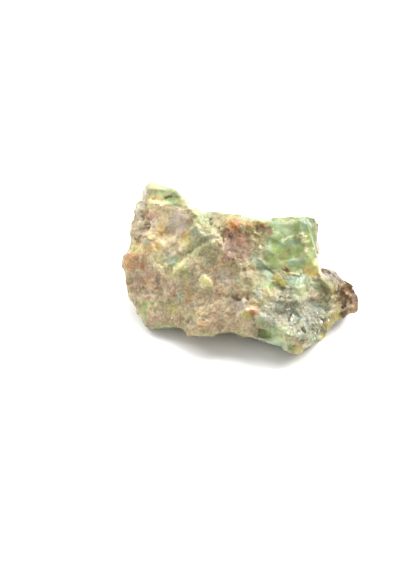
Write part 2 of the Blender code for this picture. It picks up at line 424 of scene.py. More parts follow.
edge_light_strokes = strokes(stroke_cloud, (0.00, 0.10), edge_coarse, (0.07, 0.20))
dark_strokes = strokes(-stroke_cloud, (0.04, 0.14), edge_coarse, (0.05, 0.15))
edge_light_flecks = strokes(-stroke_cloud, (0.06, 0.16), edge_fine, (0.12, 0.32))
texture = sum(height * kind * field for kind, field, height in TEXTURES)
texture += (1 - waxy) * (STROKE_RISE * edge_light_strokes - STROKE_DEPTH * dark_strokes)
slope = FLAKE_SLOPE * places[:, 0]
flakes = terraces(FLAKE_SWELL * swells(2.6, 10) + slope, FLAKE_RISE) - slope
relief = SWELL_RISE * swell_coarse + texture + flaky * flakes
print("textures stand out", relief.max().round(2), "mm at most")

# %% [markdown]
# Lumps and holes are ovals: x, y, half length, half width, turn in degrees and height in mm.

# %% Lumps and holes
LUMPS = [
    (24.0, -4.4, 1.4, 1.9, -20, 0.7),
    (15.4, -6.2, 1.8, 2.3, 0, 0.5),
    (-9.1, -3.1, 1.9, 1.3, 0, 0.45),
    (2.9, -11.6, 1.8, 1.3, 12, 0.5),
    (16.7, 8.6, 1.7, 1.3, 0, 0.08),
    (-13.2, 16.3, 1.2, 0.5, -35, 0.4),
    (20.3, -15.0, 1.1, 1.6, -20, 0.5),
    (-22.8, -12.6, 1.8, 1.8, 0, 0.3),
    (-11.0, -15.4, 1.6, 1.2, 0, 0.3),
    (4.8, 9.3, 0.9, 0.6, 0, 0.3),
]
HOLES = [
    (-0.6, -7.4, 0.9, 0.7, 0, 0.35),
    (1.5, -8.0, 0.6, 1.2, -10, 0.4),
    (-21.8, -3.2, 0.8, 1.1, 0, 0.5),
    (-21.5, -5.0, 1.0, 0.4, -15, 0.5),
    (13.2, -14.5, 0.8, 0.4, -10, 0.9),
    (16.7, -15.6, 0.5, 0.5, 0, 0.8),
    (12.9, -12.6, 0.4, 0.6, 0, 0.5),
    (27.3, -9.4, 0.6, 0.7, 0, 0.8),
    (26.3, -6.0, 1.1, 0.9, 0, 0.35),
    (27.6, -7.3, 1.2, 0.5, -20, 0.2),
    (-13.2, -13.5, 1.0, 1.0, 0, 0.6),
    (-9.7, -12.7, 0.8, 0.7, 0, 0.5),
    (-7.6, 12.1, 0.5, 0.4, 0, 0.7),
    (-7.8, 13.7, 0.4, 0.4, 0, 0.6),
    (-5.9, 10.8, 0.3, 0.7, 0, 0.4),
    (6.4, -16.8, 1.7, 1.0, -15, 0.2),
    (4.4, -15.4, 1.5, 0.5, -35, 0.25),
    (-2.4, 9.0, 0.5, 1.0, 0, 0.15),
    (6.4, 11.0, 1.3, 0.8, -25, 0.1),
    (-1.2, -9.6, 0.35, 0.3, 0, 0.4),
    (12.5, -0.2, 1.0, 0.4, -20, 0.3),
    (-18.8, 19.0, 1.4, 0.4, 40, 0.4),
    (14.2, -20.3, 0.4, 0.5, 0, 0.5),
    (22.0, -13.8, 0.5, 0.8, 0, 0.5),
]
for x, y, half_long, half_wide, turn, height in LUMPS:
    relief += height * patch(x, y, half_long, half_wide, turn)
for x, y, half_long, half_wide, turn, depth in HOLES:
    relief -= depth * patch(x, y, half_long, half_wide, turn)
print(len(LUMPS), "lumps and", len(HOLES), "holes")

# %% [markdown]
# A ledge is a line of points with a step in mm: the ground on its left stands that much higher.

# %% Broken ledges
LEDGE_RAMP = 0.28
LEDGE_FADE = 1.6
LEDGE_SPAN = (0.04, 0.96)
LEDGES = [
    ([(-11.6, 16.0), (-13.8, 16.9), (-17.0, 17.2), (-21.6, 17.2), (-24.0, 17.8)], -0.7),
    ([(-24.0, 12.4), (-24.9, 11.5), (-26.4, 10.4)], 0.9),
    ([(-24.0, 17.6), (-24.9, 15.2), (-24.4, 12.6)], 0.6),
    ([(-27.2, 8.7), (-25.2, 8.5), (-22.2, 8.0), (-21.0, 6.6)], 0.5),
    ([(-23.2, 4.6), (-22.4, 2.2), (-21.2, 0.9), (-19.2, -2.1)], -0.6),
    ([(-11.3, 13.6), (-12.6, 11.6), (-14.0, 9.4), (-15.8, 7.7)], 0.8),
    ([(-12.2, 4.6), (-14.4, 3.3), (-16.3, 1.3), (-18.4, -0.8)], 0.8),
    ([(-5.5, 12.8), (-5.2, 10.0), (-5.3, 8.0), (-4.5, 6.0), (-5.4, 3.2)], -0.5),
    ([(9.4, -7.9), (10.8, -7.3), (12.4, -7.1), (13.6, -7.5)], -0.7),
    ([(13.5, -1.3), (15.5, -1.2), (16.8, -0.2)], 0.4),
    ([(15.2, 7.9), (16.4, 7.2), (18.4, 6.4)], 0.5),
    ([(3.0, -14.0), (4.4, -15.0), (7.2, -15.8), (9.4, -16.6)], 0.6),
    ([(-0.8, -11.8), (0.8, -10.9), (2.4, -10.1)], -0.5),
    ([(-28.0, -8.3), (-26.0, -9.4), (-23.0, -8.6), (-19.5, -8.4), (-16.6, -6.6)], 0.5),
    ([(-16.8, -15.0), (-16.6, -12.6), (-15.2, -11.3)], -0.5),
]
for line, step in LEDGES:
    signed, along = line_distance(line)
    ends = np.sin(math.pi * np.clip(along, *LEDGE_SPAN)) ** 0.5
    side = smooth_step(-LEDGE_RAMP, LEDGE_RAMP, signed) - 0.5
    relief += step * ends * side * np.exp(-np.abs(signed) / LEDGE_FADE) * face_share
print(len(LEDGES), "ledges")

# %% [markdown]
# Thin lines finish the relief: bright seams stand out a little and dark ones are cracks. Each is
# a colour for later, a half width in mm, a share, and its points.

# %% Rims, cracks and veins
SEAMS = [
    ("cream", 0.22, 0.9, [(-26.9, 17.8), (-26.5, 16.2), (-26.9, 14.4), (-26.6, 12.6)]),
    ("white", 0.16, 0.9, [(-26.0, 17.2), (-25.7, 15.4), (-26.2, 13.6), (-25.8, 11.9)]),
    ("umber", 0.10, 0.8, [(-26.4, 17.4), (-26.1, 15.6), (-26.6, 13.8), (-26.3, 12.2)]),
    ("tan", 0.18, 0.8, [(-25.3, 18.4), (-24.9, 17.0), (-25.2, 15.2)]),
    ("cream", 0.30, 0.8, [(-22.2, 17.1), (-20.0, 17.0), (-17.5, 16.8), (-14.6, 16.9), (-12.2, 16.0)]),
    ("amber", 0.25, 0.6, [(-25.6, 18.0), (-24.9, 16.8), (-24.4, 15.2)]),
    ("umber", 0.20, 0.8, [(-26.3, 10.4), (-24.9, 11.4), (-24.0, 12.4)]),
    ("umber", 0.18, 0.7, [(-26.9, 16.2), (-27.3, 15.2), (-27.5, 13.8)]),
    ("brown", 0.22, 0.6, [(-28.3, 10.8), (-28.2, 9.4), (-28.9, 7.6)]),
    ("umber", 0.14, 0.6, [(-27.2, 8.7), (-25.2, 8.5), (-24.0, 8.1), (-22.2, 8.0), (-21.2, 6.9)]),
    ("cream", 0.22, 0.7, [(-21.8, 6.4), (-20.6, 4.8), (-19.9, 2.8)]),
    ("cream", 0.30, 0.8, [(-23.4, 4.4), (-22.8, 2.6), (-21.4, 1.0), (-20.2, -0.6), (-19.0, -2.2)]),
    ("pale_yellow", 0.40, 0.9, [(-13.4, 3.4), (-15.4, 2.0), (-16.4, 0.4), (-18.6, -0.9)]),
    ("bottle", 0.20, 0.8, [(-16.4, 3.3), (-14.4, 4.0), (-12.6, 4.9), (-12.0, 6.0)]),
    ("pale_yellow", 0.22, 0.8, [(-10.9, 13.9), (-12.0, 12.6), (-12.6, 11.6)]),
    ("amber", 0.28, 0.7, [(-12.8, 11.0), (-14.2, 9.4), (-15.8, 8.0)]),
    ("lemon", 0.22, 0.8, [(-6.2, 12.6), (-5.5, 10.6), (-5.5, 8.6), (-4.8, 6.6)]),
    ("pale_green", 0.35, 0.8, [(-9.6, 15.2), (-6.6, 15.0), (-3.0, 14.4), (0.6, 13.7)]),
    ("pale_green", 0.30, 0.8, [(0.6, 13.7), (3.6, 13.1), (6.6, 12.8), (9.0, 13.0)]),
    ("orange", 0.30, 0.6, [(-6.9, 0.8), (-5.6, 1.8), (-4.4, 2.4), (-3.0, 2.4)]),
    ("moss", 0.22, 0.5, [(7.6, 9.6), (7.0, 8.0), (6.6, 6.4), (5.0, 5.0)]),
    ("cream", 0.16, 0.8, [(15.0, 7.8), (15.8, 9.2), (16.4, 9.4), (17.2, 8.6), (18.2, 9.6)]),
    ("white", 0.14, 0.8, [(16.0, 9.2), (16.8, 9.8), (17.2, 8.6)]),
    ("cream", 0.13, 0.9, [(15.4, 9.9), (16.0, 8.6), (16.9, 8.0), (17.6, 7.2)]),
    ("amber", 0.13, 0.8, [(15.0, 8.9), (16.4, 8.4), (17.8, 8.8), (18.4, 8.2)]),
    ("cream", 0.12, 0.9, [(15.8, 7.4), (16.6, 8.8), (16.4, 9.9)]),
    ("cream", 0.12, 0.8, [(16.8, 6.0), (17.6, 5.4), (17.4, 4.6)]),
    ("amber", 0.14, 0.7, [(16.6, 5.2), (17.4, 5.7), (18.2, 5.4)]),
    ("umber", 0.10, 0.6, [(16.2, 8.9), (17.0, 9.2), (17.6, 8.5)]),
    ("umber", 0.12, 0.6, [(15.4, 7.7), (16.2, 8.1), (17.0, 8.3)]),
    ("pale_yellow", 0.26, 0.8, [(20.2, 2.0), (20.7, 0.4), (21.7, -1.4), (22.4, -2.6)]),
    ("pale_grey", 0.30, 0.6, [(5.2, 3.6), (6.4, 1.8), (7.4, 0.0)]),
    # Umber above and cream along the ledge at the low right: painted shadow and painted light on its
    # step.
    ("umber", 0.16, 0.9, [(9.6, -7.9), (10.6, -7.4), (12.3, -7.1)]),
    ("cream", 0.18, 0.8, [(10.2, -8.1), (11.6, -7.7), (13.2, -7.8), (14.0, -8.5)]),
    ("pale_yellow", 0.24, 0.7, [(14.0, -8.0), (15.4, -8.5), (16.8, -8.3), (17.5, -7.0)]),
    # Painted shade along the top of the green hollow at the bottom edge; it also sinks a little as a
    # crack.
    ("umber", 0.20, 0.8, [(3.1, -14.2), (4.4, -15.1), (5.8, -15.6), (7.2, -16.0)]),
    ("white", 0.28, 0.9, [(-0.9, -11.7), (0.6, -11.1), (2.2, -10.1)]),
    ("brown", 0.18, 0.7, [(-28.0, -8.5), (-26.8, -9.0), (-25.9, -9.7)]),
    ("pale_green", 0.35, 0.8, [(-25.3, -15.2), (-22.0, -15.2), (-19.0, -15.0), (-16.4, -15.6)]),
    (
        "pale_yellow",
        0.26,
        0.7,
        [(-14.3, -17.3), (-11.5, -17.9), (-8.5, -17.5), (-6.2, -16.6), (-3.8, -16.0)],
    ),
    ("pink_tan", 0.20, 0.8, [(18.3, -7.6), (19.4, -7.3), (20.3, -6.3)]),
    # Pale grey along the bottom edge: painted light, as bounce light from the table.
    ("pale_grey", 0.30, 0.7, [(1.8, -17.0), (5.0, -18.4), (8.4, -19.8), (11.6, -21.2)]),
    ("rust", 0.25, 0.5, [(-16.6, -11.4), (-15.6, -13.0), (-15.4, -14.8)]),
    ("umber", 0.16, 0.6, [(25.2, -3.4), (25.4, -4.8), (25.0, -6.2)]),
    ("khaki", 0.30, 0.6, [(30.2, -4.0), (31.0, -6.0), (31.2, -9.0)]),
]
DARK_SEAMS = ("umber", "brown", "black", "bottle", "moss")
SEAM_RISE = 0.10
SEAM_DEPTH = 0.16
for title, half_wide, share, line in SEAMS:
    relief += (-SEAM_DEPTH if title in DARK_SEAMS else SEAM_RISE) * seam(line, half_wide)
print(len(SEAMS), "seams in the relief")

# %% [markdown]
# The height of the base is zero, so the relief fades out just above it and the stone stands
# flat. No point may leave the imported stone's box.

# %% Move the skin
BASE_STILL = 0.1 * MM
BASE_FADE = 0.7 * MM
lifted = smooth_step(BASE_STILL, BASE_FADE, points[:, 2])
carved = points + normals * (relief * lifted * MM)[:, None]
carved = np.clip(carved, np.array(packed_box[0]), np.array(packed_box[1]))
stone.data.vertices.foreach_set("co", carved.ravel())
stone.data.update()
for polygon in stone.data.polygons:
    polygon.use_smooth = True
print("the skin moved by up to", np.abs(relief * lifted).max().round(2), "mm")

# %% [markdown]
# ## Colours
# The palette names what each colour is on a piece of opal. Beside its colour as seen, every
# entry has the roughness of that surface and its milkiness, from 0 for dull rock to 1 for opal
# that light soaks into. The table is lit bright enough to burn out its white, so the colours
# are turned down by one share before use.

# %% The palette
LIGHT_SHARE = 0.51
PALETTE = {
    "white": ("#efebd4", 0.30, 0.5),
    "cream": ("#e6d9b2", 0.45, 0.4),
    "pale_yellow": ("#dbd798", 0.40, 0.8),
    "lemon": ("#cabf68", 0.38, 0.8),
    "amber": ("#cba35c", 0.45, 0.6),
    "orange": ("#d08a44", 0.50, 0.5),
    "rust": ("#a96a41", 0.60, 0.2),
    "brown": ("#876846", 0.65, 0.1),
    "umber": ("#5d4736", 0.70, 0.0),
    "black": ("#35322a", 0.60, 0.0),
    "sand": ("#e0ca9f", 0.60, 0.3),
    "tan": ("#cdb188", 0.60, 0.3),
    "pink_tan": ("#c9a98e", 0.60, 0.3),
    "mauve": ("#b08c76", 0.62, 0.2),
    "lilac": ("#cdbeac", 0.55, 0.3),
    "grey": ("#a09e84", 0.50, 0.3),
    "dark_grey": ("#74756a", 0.50, 0.2),
    "pale_grey": ("#c6c8b6", 0.35, 0.4),
    "blue_grey": ("#99a290", 0.40, 0.4),
    "mint": ("#adc392", 0.28, 1.0),
    "pale_green": ("#bfcc9c", 0.32, 0.9),
    "leaf": ("#9aad69", 0.28, 1.0),
    "sea": ("#9bb08f", 0.30, 0.9),
    "moss": ("#7e8a4e", 0.45, 0.5),
    "bottle": ("#768c54", 0.40, 0.6),
    "olive": ("#a39c60", 0.45, 0.5),
    "khaki": ("#b2aa76", 0.50, 0.4),
    "mustard": ("#ad9d4a", 0.40, 0.6),
}


def linear(hex_colour):
    """The linear values of an sRGB hex colour such as #aabbcc."""
    parts = [int(hex_colour[start : start + 2], 16) / 255 for start in (1, 3, 5)]
    return [part / 12.92 if part <= 0.04045 else ((part + 0.055) / 1.055) ** 2.4 for part in parts]


pigments = {}
for title, (hex_colour, rough, milky) in PALETTE.items():
    pigments[title] = np.array([LIGHT_SHARE * part for part in linear(hex_colour)] + [rough, milky])
paint = np.tile(pigments["khaki"], (place_count, 1))


def stain(title, share):
    """Lays that colour over the paint, as thickly as the share says."""
    paint[:] += np.clip(share, 0, 1)[:, None] * (pigments[title] - paint)


def lay(patches, depth=face_share):
    """Lays a list of patches, one over the other, as deep as the depth share says."""
    for title, x, y, half_long, half_wide, turn, share in patches:
        stain(title, share * oval(x, y, half_long, half_wide, turn) * depth)


def scatter(titles, luck, share):
    """Gives every grain one of the colours, by its luck."""
    for place, title in enumerate(titles):
        stain(title, share * (np.floor(luck * len(titles)) == place))


print(len(pigments), "colours")

# %% [markdown]
# ### Ground colours
# The broad zones come first, as a painter would block them in: tan rock at the left and middle,
# green opal at the right, grey sugar in the low right corner. Every patch is written as colour,
# x, y, half length, half width, turn in degrees and share.

# %% Block in the zones
ZONE_BLUR = 0.3
GROUND = [
    ("sand", -20.0, 11.0, 7.5, 7.5, 0, 1.0),
    ("pale_yellow", -21.5, 20.4, 4.6, 2.9, -12, 1.0),
    ("tan", -27.0, 3.5, 4.0, 4.0, 0, 0.9),
    ("mauve", -24.2, -3.2, 6.0, 4.6, -22, 1.0),
    ("mauve", -18.2, -4.8, 2.2, 2.4, 0, 0.9),
    ("khaki", -18.8, 3.0, 4.4, 4.0, -20, 0.9),
    ("khaki", -9.6, 7.0, 4.6, 8.2, 0, 0.9),
    ("leaf", -9.8, 9.0, 3.6, 5.0, 0, 0.45),
    ("sand", -11.2, 1.4, 3.2, 2.6, 0, 0.7),
    ("tan", -5.0, -8.5, 9.5, 8.4, 0, 1.0),
    ("pink_tan", -21.4, -12.4, 4.4, 3.0, 0, 0.9),
    ("brown", -0.8, 7.4, 3.9, 5.4, 0, 1.0),
    ("khaki", 4.6, 7.0, 3.0, 5.0, 10, 0.8),
    ("leaf", 13.4, 7.6, 8.0, 7.0, 0, 1.0),
    ("leaf", 12.6, 2.8, 6.6, 3.0, 0, 0.9),
    ("khaki", 8.5, -3.2, 9.5, 4.6, -12, 0.9),
    ("sea", 16.0, -3.4, 4.5, 2.2, 0, 0.7),
    ("grey", 14.5, -12.5, 10.2, 6.2, -5, 1.0),
    ("khaki", 19.0, -15.0, 5.0, 4.0, 0, 0.4),
    ("pale_green", 10.2, -17.4, 4.6, 2.6, -28, 0.9),
    ("khaki", 15.6, -19.6, 3.4, 2.6, 0, 0.8),
    ("olive", 23.8, -11.0, 3.2, 5.2, 0, 0.8),
    ("brown", 28.0, -6.0, 3.6, 5.8, 20, 1.0),
]
for title, x, y, half_long, half_wide, turn, share in GROUND:
    stain(title, share * oval(x, y, half_long, half_wide, turn, ZONE_BLUR))
print(len(GROUND), "zones")

# %% [markdown]
# ### Hidden sides
# The back, the ends and the underside were broken from the same rock. The zones above run right
# through the stone, so each side starts with the colours of its rim. Blotches of the same palette
# then cover them: each is a colour, a size in mm, a seed, the height of the noise at which the
# colour starts, and a share.

# %% Blotches on the hidden sides
BLOTCH_EDGE = 0.10
HIDDEN_BLOTCHES = [
    ("tan", 7.0, 11, -0.05, 0.8),
    ("leaf", 6.0, 12, 0.08, 0.9),
    ("mauve", 5.0, 13, 0.14, 0.8),
    ("sea", 4.0, 14, 0.20, 0.8),
    ("cream", 2.2, 15, 0.26, 0.7),
    ("amber", 2.8, 16, 0.28, 0.6),
    ("brown", 1.8, 17, 0.28, 0.6),
]
hidden = 1 - face_share
for title, size, seed, start, share in HIDDEN_BLOTCHES:
    stain(title, share * hidden * smooth_step(start, start + BLOTCH_EDGE, swells(size, seed)))
print(f"hidden sides: {hidden.mean():.0%} of the skin")

# %% [markdown]
# ### Mottling
# No zone is one colour. Minerals set in clouds a millimetre or two across, so each zone gets
# clouds of its neighbours' colours: a colour, the noise it follows, the height at which it starts,
# a share, and the zone it stays in.

# %% Clouds of colour in each zone
CLOUD_EDGE = 0.14
ZONE_OVER_ROCK = 0.85
cloud_a = swells(1.5, 21)
cloud_b = swells(1.1, 22)
cloud_c = swells(0.85, 23)
valley_zone = patch(7.5, -2.8, 7.5, 4.6, -12)
corner_zone = patch(15.0, -13.0, 10.5, 6.5, -8)
other_zones = np.maximum.reduce([patch(3.0, 8.4, 7.5, 6.0), valley_zone, corner_zone])
rock_zone = crumbly * (1 - ZONE_OVER_ROCK * other_zones)
rust_zone = patch(1.2, 8.0, 6.5, 5.5)
block_zone = patch(-10.0, 8.6, 4.0, 6.0)
knob_zone = oval(28.0, -7.0, 3.6, 6.0, 20)
CLOUDS = [
    ("cream", cloud_a, 0.16, 0.55, rock_zone),
    ("rust", cloud_b, 0.24, 0.30, rock_zone),
    ("grey", -cloud_a, 0.26, 0.35, rock_zone),
    ("amber", -cloud_b, 0.16, 0.45, rock_zone),
    ("brown", cloud_c, 0.28, 0.30, rock_zone),
    ("umber", cloud_b, 0.10, 0.45, rust_zone),
    ("rust", -cloud_a, 0.14, 0.45, rust_zone),
    ("rust", -cloud_c, 0.16, 0.50, rust_zone),
    ("olive", cloud_a, 0.10, 0.45, valley_zone),
    ("sea", -cloud_b, 0.12, 0.45, valley_zone),
    ("leaf", cloud_c, 0.14, 0.45, valley_zone),
    ("sand", -cloud_a, 0.24, 0.40, valley_zone),
    ("leaf", cloud_b, 0.14, 0.50, block_zone),
    ("lemon", -cloud_c, 0.16, 0.40, block_zone),
    ("brown", -cloud_b, 0.26, 0.45, block_zone),
    ("dark_grey", cloud_b, 0.16, 0.50, corner_zone),
    ("blue_grey", -cloud_b, 0.10, 0.60, corner_zone),
    ("leaf", cloud_a, 0.20, 0.45, corner_zone),
    ("khaki", -cloud_a, 0.14, 0.50, corner_zone),
    ("pale_green", cloud_a, 0.12, 0.40, waxy),
    ("leaf", -cloud_a, 0.16, 0.40, waxy),
    ("rust", cloud_a, 0.12, 0.55, knob_zone),
    ("umber", -cloud_b, 0.14, 0.60, knob_zone),
    ("olive", cloud_c, 0.20, 0.50, knob_zone),
]
for title, cloud, start, share, zone in CLOUDS:
    stain(title, share * zone * smooth_step(start, start + CLOUD_EDGE, cloud))
print(len(CLOUDS), "kinds of cloud")

# %% [markdown]
# Where a cloud's height crosses zero there is a thin winding line. Such lines make veins of cream
# opal and hairline cracks, because real ones wander in the same way.

# %% Veins and hairlines
VEIN_GAPS = (-0.10, 0.05)
VEINS = [
    ("pale_yellow", swells(2.0, 32), 0.035, 0.60, block_zone),
    ("umber", swells(3.1, 33), 0.014, 0.55, rock_zone),
    ("umber", swells(2.2, 35), 0.022, 0.60, corner_zone),
    ("umber", swells(1.7, 36), 0.030, 0.55, rust_zone),
    ("pale_green", swells(3.0, 37), 0.030, 0.60, waxy),
]
broken = smooth_step(*VEIN_GAPS, cloud_a)
for title, field, width, share, zone in VEINS:
    stain(title, share * zone * broken * (1 - smooth_step(width, 2 * width, np.abs(field))))
print(len(VEINS), "kinds of vein")

# %% [markdown]
# ### The left end
# A translucent yellow peak with a green shoulder, white flakes down the edge, and an amber bulge.
# The white at the tip of the peak is white flake and painted light at once, where the thin edge
# glows.

# %% Patches of the left end
LEFT_END = [
    ("pale_yellow", -24.2, 19.2, 1.6, 2.8, -30, 0.9),
    # White at the tip of the peak, in this and the next line: white flake, and painted light where the
    # thin edge glows.
    ("white", -24.6, 20.4, 0.7, 2.2, -40, 0.8),
    ("white", -25.2, 19.2, 1.2, 1.8, 0, 0.8),
    ("pale_green", -20.0, 21.3, 2.6, 1.3, -20, 0.9),
    ("leaf", -19.6, 20.4, 1.4, 0.9, -20, 0.6),
    ("sea", -19.2, 21.8, 1.6, 0.5, -20, 0.6),
    ("leaf", -17.0, 18.9, 2.4, 1.5, -35, 1.0),
    ("bottle", -17.2, 19.0, 1.8, 1.0, -35, 0.6),
    ("sea", -14.2, 18.4, 3.2, 0.8, -42, 0.8),
    ("olive", -15.2, 17.2, 1.6, 0.8, -35, 0.7),
    ("lemon", -15.4, 18.9, 1.0, 0.8, 0, 0.7),
    ("bottle", -18.7, 19.0, 1.3, 0.45, 40, 0.9),
    ("moss", -19.6, 18.2, 0.8, 0.4, 20, 0.7),
    ("amber", -21.3, 18.4, 1.5, 0.5, -10, 0.9),
    ("amber", -18.6, 20.4, 0.9, 0.35, 35, 0.6),
    ("mint", -18.3, 17.8, 1.4, 0.6, 0, 0.7),
    ("khaki", -13.4, 16.2, 1.4, 1.6, -40, 0.7),
    ("white", -13.0, 16.5, 1.0, 0.4, -35, 0.9),
    ("brown", -24.3, 19.2, 0.3, 0.5, 0, 0.7),
    ("cream", -26.4, 16.2, 0.9, 2.2, -5, 0.6),
    ("cream", -26.2, 13.6, 0.8, 2.2, 0, 0.6),
    ("lilac", -27.3, 13.0, 0.6, 2.4, 0, 0.8),
    ("dark_grey", -25.8, 13.6, 0.3, 0.9, 0, 0.9),
    ("khaki", -25.9, 15.6, 0.5, 0.6, 0, 0.6),
    ("tan", -24.9, 16.8, 0.6, 1.6, 28, 0.8),
    ("mauve", -23.8, 14.4, 1.2, 1.3, 0, 0.9),
    ("brown", -24.5, 13.3, 0.6, 1.0, 0, 0.8),
    ("cream", -25.9, 11.7, 0.9, 0.4, 25, 0.8),
    ("lilac", -26.0, 9.9, 1.7, 0.8, 10, 0.9),
    ("mauve", -25.2, 10.6, 1.1, 0.4, 35, 0.7),
    ("cream", -27.1, 9.3, 0.9, 0.35, 20, 0.8),
    ("rust", -26.9, 7.5, 0.7, 1.0, 30, 0.8),
    ("umber", -26.3, 17.8, 0.4, 0.2, 0, 0.8),
    ("lemon", -27.4, 5.8, 1.6, 1.1, 25, 0.8),
    ("cream", -28.9, 5.0, 0.5, 1.0, 0, 0.7),
    ("rust", -29.5, 3.6, 1.4, 0.7, 0, 0.8),
    ("amber", -30.2, 1.9, 0.7, 1.3, 0, 0.9),
    ("orange", -29.4, 0.7, 1.4, 1.1, 0, 0.6),
    ("cream", -29.6, -0.8, 0.8, 0.5, 0, 0.6),
    ("olive", -29.3, -2.2, 0.9, 0.8, 0, 0.8),
    ("khaki", -29.7, -5.0, 0.4, 1.2, 0, 0.7),
]
lay(LEFT_END, depth=1)
print(len(LEFT_END), "patches")

# %% [markdown]
# ### The upper and lower left face
# Sand with a lilac patch above, and mauve with grey pits below.

# %% Patches of the left face
LEFT_FACE = [
    ("khaki", -22.7, 16.4, 1.6, 0.7, -20, 0.7),
    ("pink_tan", -22.6, 14.8, 1.6, 1.0, 0, 0.6),
    ("olive", -20.3, 15.8, 1.5, 0.6, 0, 0.5),
    ("lilac", -15.7, 12.9, 2.5, 3.2, -15, 0.95),
    ("lilac", -16.3, 10.2, 1.8, 1.3, -30, 0.9),
    ("mauve", -13.7, 13.4, 0.7, 1.8, -15, 0.5),
    ("khaki", -13.8, 14.6, 1.0, 0.7, 0, 0.5),
    ("grey", -18.0, 13.2, 0.9, 1.8, 0, 0.6),
    ("pale_grey", -18.1, 11.4, 1.0, 0.9, 0, 0.6),
    ("amber", -20.6, 11.2, 1.8, 1.0, 0, 0.55),
    ("amber", -21.6, 9.4, 1.4, 0.8, 0, 0.45),
    ("lilac", -22.8, 12.4, 1.3, 1.2, 0, 0.6),
    ("cream", -19.1, 10.6, 0.9, 0.7, 0, 0.5),
    ("grey", -24.8, 7.3, 1.4, 0.9, -15, 0.8),
    ("amber", -22.6, 6.6, 1.6, 1.0, 0, 0.4),
    ("lilac", -18.4, 8.0, 1.4, 1.2, 0, 0.4),
    ("amber", -25.6, 4.4, 1.8, 1.2, 0, 0.4),
    ("brown", -26.4, 2.8, 1.8, 1.0, 0, 0.35),
    ("rust", -25.6, 0.8, 1.6, 0.8, 10, 0.4),
    ("pink_tan", -24.0, 0.2, 0.5, 1.2, 0, 0.6),
    ("lilac", -26.2, -1.6, 1.4, 1.4, 0, 0.5),
    ("brown", -27.8, -4.6, 1.8, 1.2, -20, 0.5),
    ("lilac", -26.4, -3.4, 0.9, 1.0, 0, 0.5),
    ("tan", -24.2, -4.3, 2.0, 0.8, 0, 0.7),
    ("tan", -23.8, -2.4, 0.9, 0.8, 0, 0.4),
    ("dark_grey", -21.8, -3.1, 0.8, 1.3, 0, 0.75),
    ("dark_grey", -23.4, -6.0, 2.6, 0.45, 0, 0.65),
    ("grey", -25.2, -5.0, 1.2, 0.5, 0, 0.5),
    ("dark_grey", -21.2, -6.4, 0.9, 0.6, 0, 0.6),
    ("grey", -20.6, -5.4, 0.6, 0.9, 0, 0.6),
    ("lilac", -26.8, -7.4, 1.4, 0.7, -20, 0.6),
    ("rust", -23.6, -7.5, 2.2, 0.5, 0, 0.3),
    ("lilac", -18.6, -4.2, 0.9, 0.8, 0, 0.4),
    ("black", -21.5, -4.9, 0.9, 0.25, -15, 0.8),
    ("black", -22.4, -1.5, 0.5, 0.22, -30, 0.8),
    ("black", -20.7, -4.0, 0.22, 0.5, 0, 0.6),
    ("umber", -25.2, -4.6, 0.2, 0.6, 30, 0.7),
    ("cream", -19.8, -5.6, 0.3, 0.9, 0, 0.8),
    ("cream", -27.4, -0.2, 0.3, 0.6, -30, 0.5),
    ("sea", -16.0, -7.4, 0.8, 1.1, 15, 0.8),
    ("pale_green", -15.0, -5.8, 0.8, 1.2, 20, 0.7),
    ("brown", -16.9, -6.3, 0.4, 0.7, -20, 0.6),
    ("leaf", -24.9, -10.6, 0.9, 2.0, 0, 0.5),
    ("mint", -24.2, -9.0, 0.9, 0.6, 0, 0.8),
    ("pale_green", -25.2, -13.6, 0.6, 2.0, 5, 0.9),
    ("olive", -26.6, -9.9, 1.3, 0.6, -50, 0.9),
    ("khaki", -20.4, -9.8, 3.0, 1.2, 5, 0.8),
    ("khaki", -23.8, -10.6, 0.5, 1.4, 0, 0.6),
    ("mauve", -22.9, -12.6, 1.6, 1.6, 0, 0.5),
    ("lilac", -22.2, -14.2, 1.4, 0.5, 0, 0.4),
    ("lemon", -17.6, -10.2, 1.1, 1.6, 0, 0.7),
    ("olive", -16.6, -9.4, 0.8, 0.5, -40, 0.5),
    ("leaf", -20.8, -14.4, 1.6, 0.6, 0, 0.7),
    ("sea", -18.8, -12.7, 0.8, 0.5, 0, 0.7),
    ("cream", -20.4, -12.6, 0.9, 0.5, 0, 0.6),
    ("orange", -19.6, -13.5, 1.2, 0.35, 0, 0.4),
    ("pale_yellow", -17.6, -13.2, 0.35, 1.4, 0, 0.9),
    ("pale_green", -18.6, -14.8, 1.6, 0.4, 0, 0.9),
]
lay(LEFT_FACE)
print(len(LEFT_FACE), "patches")

# %% [markdown]
# ### The valley and the middle block
# Cream ledges and lemon ridges round a grey hollow, and a speckled green-grey block beside it.

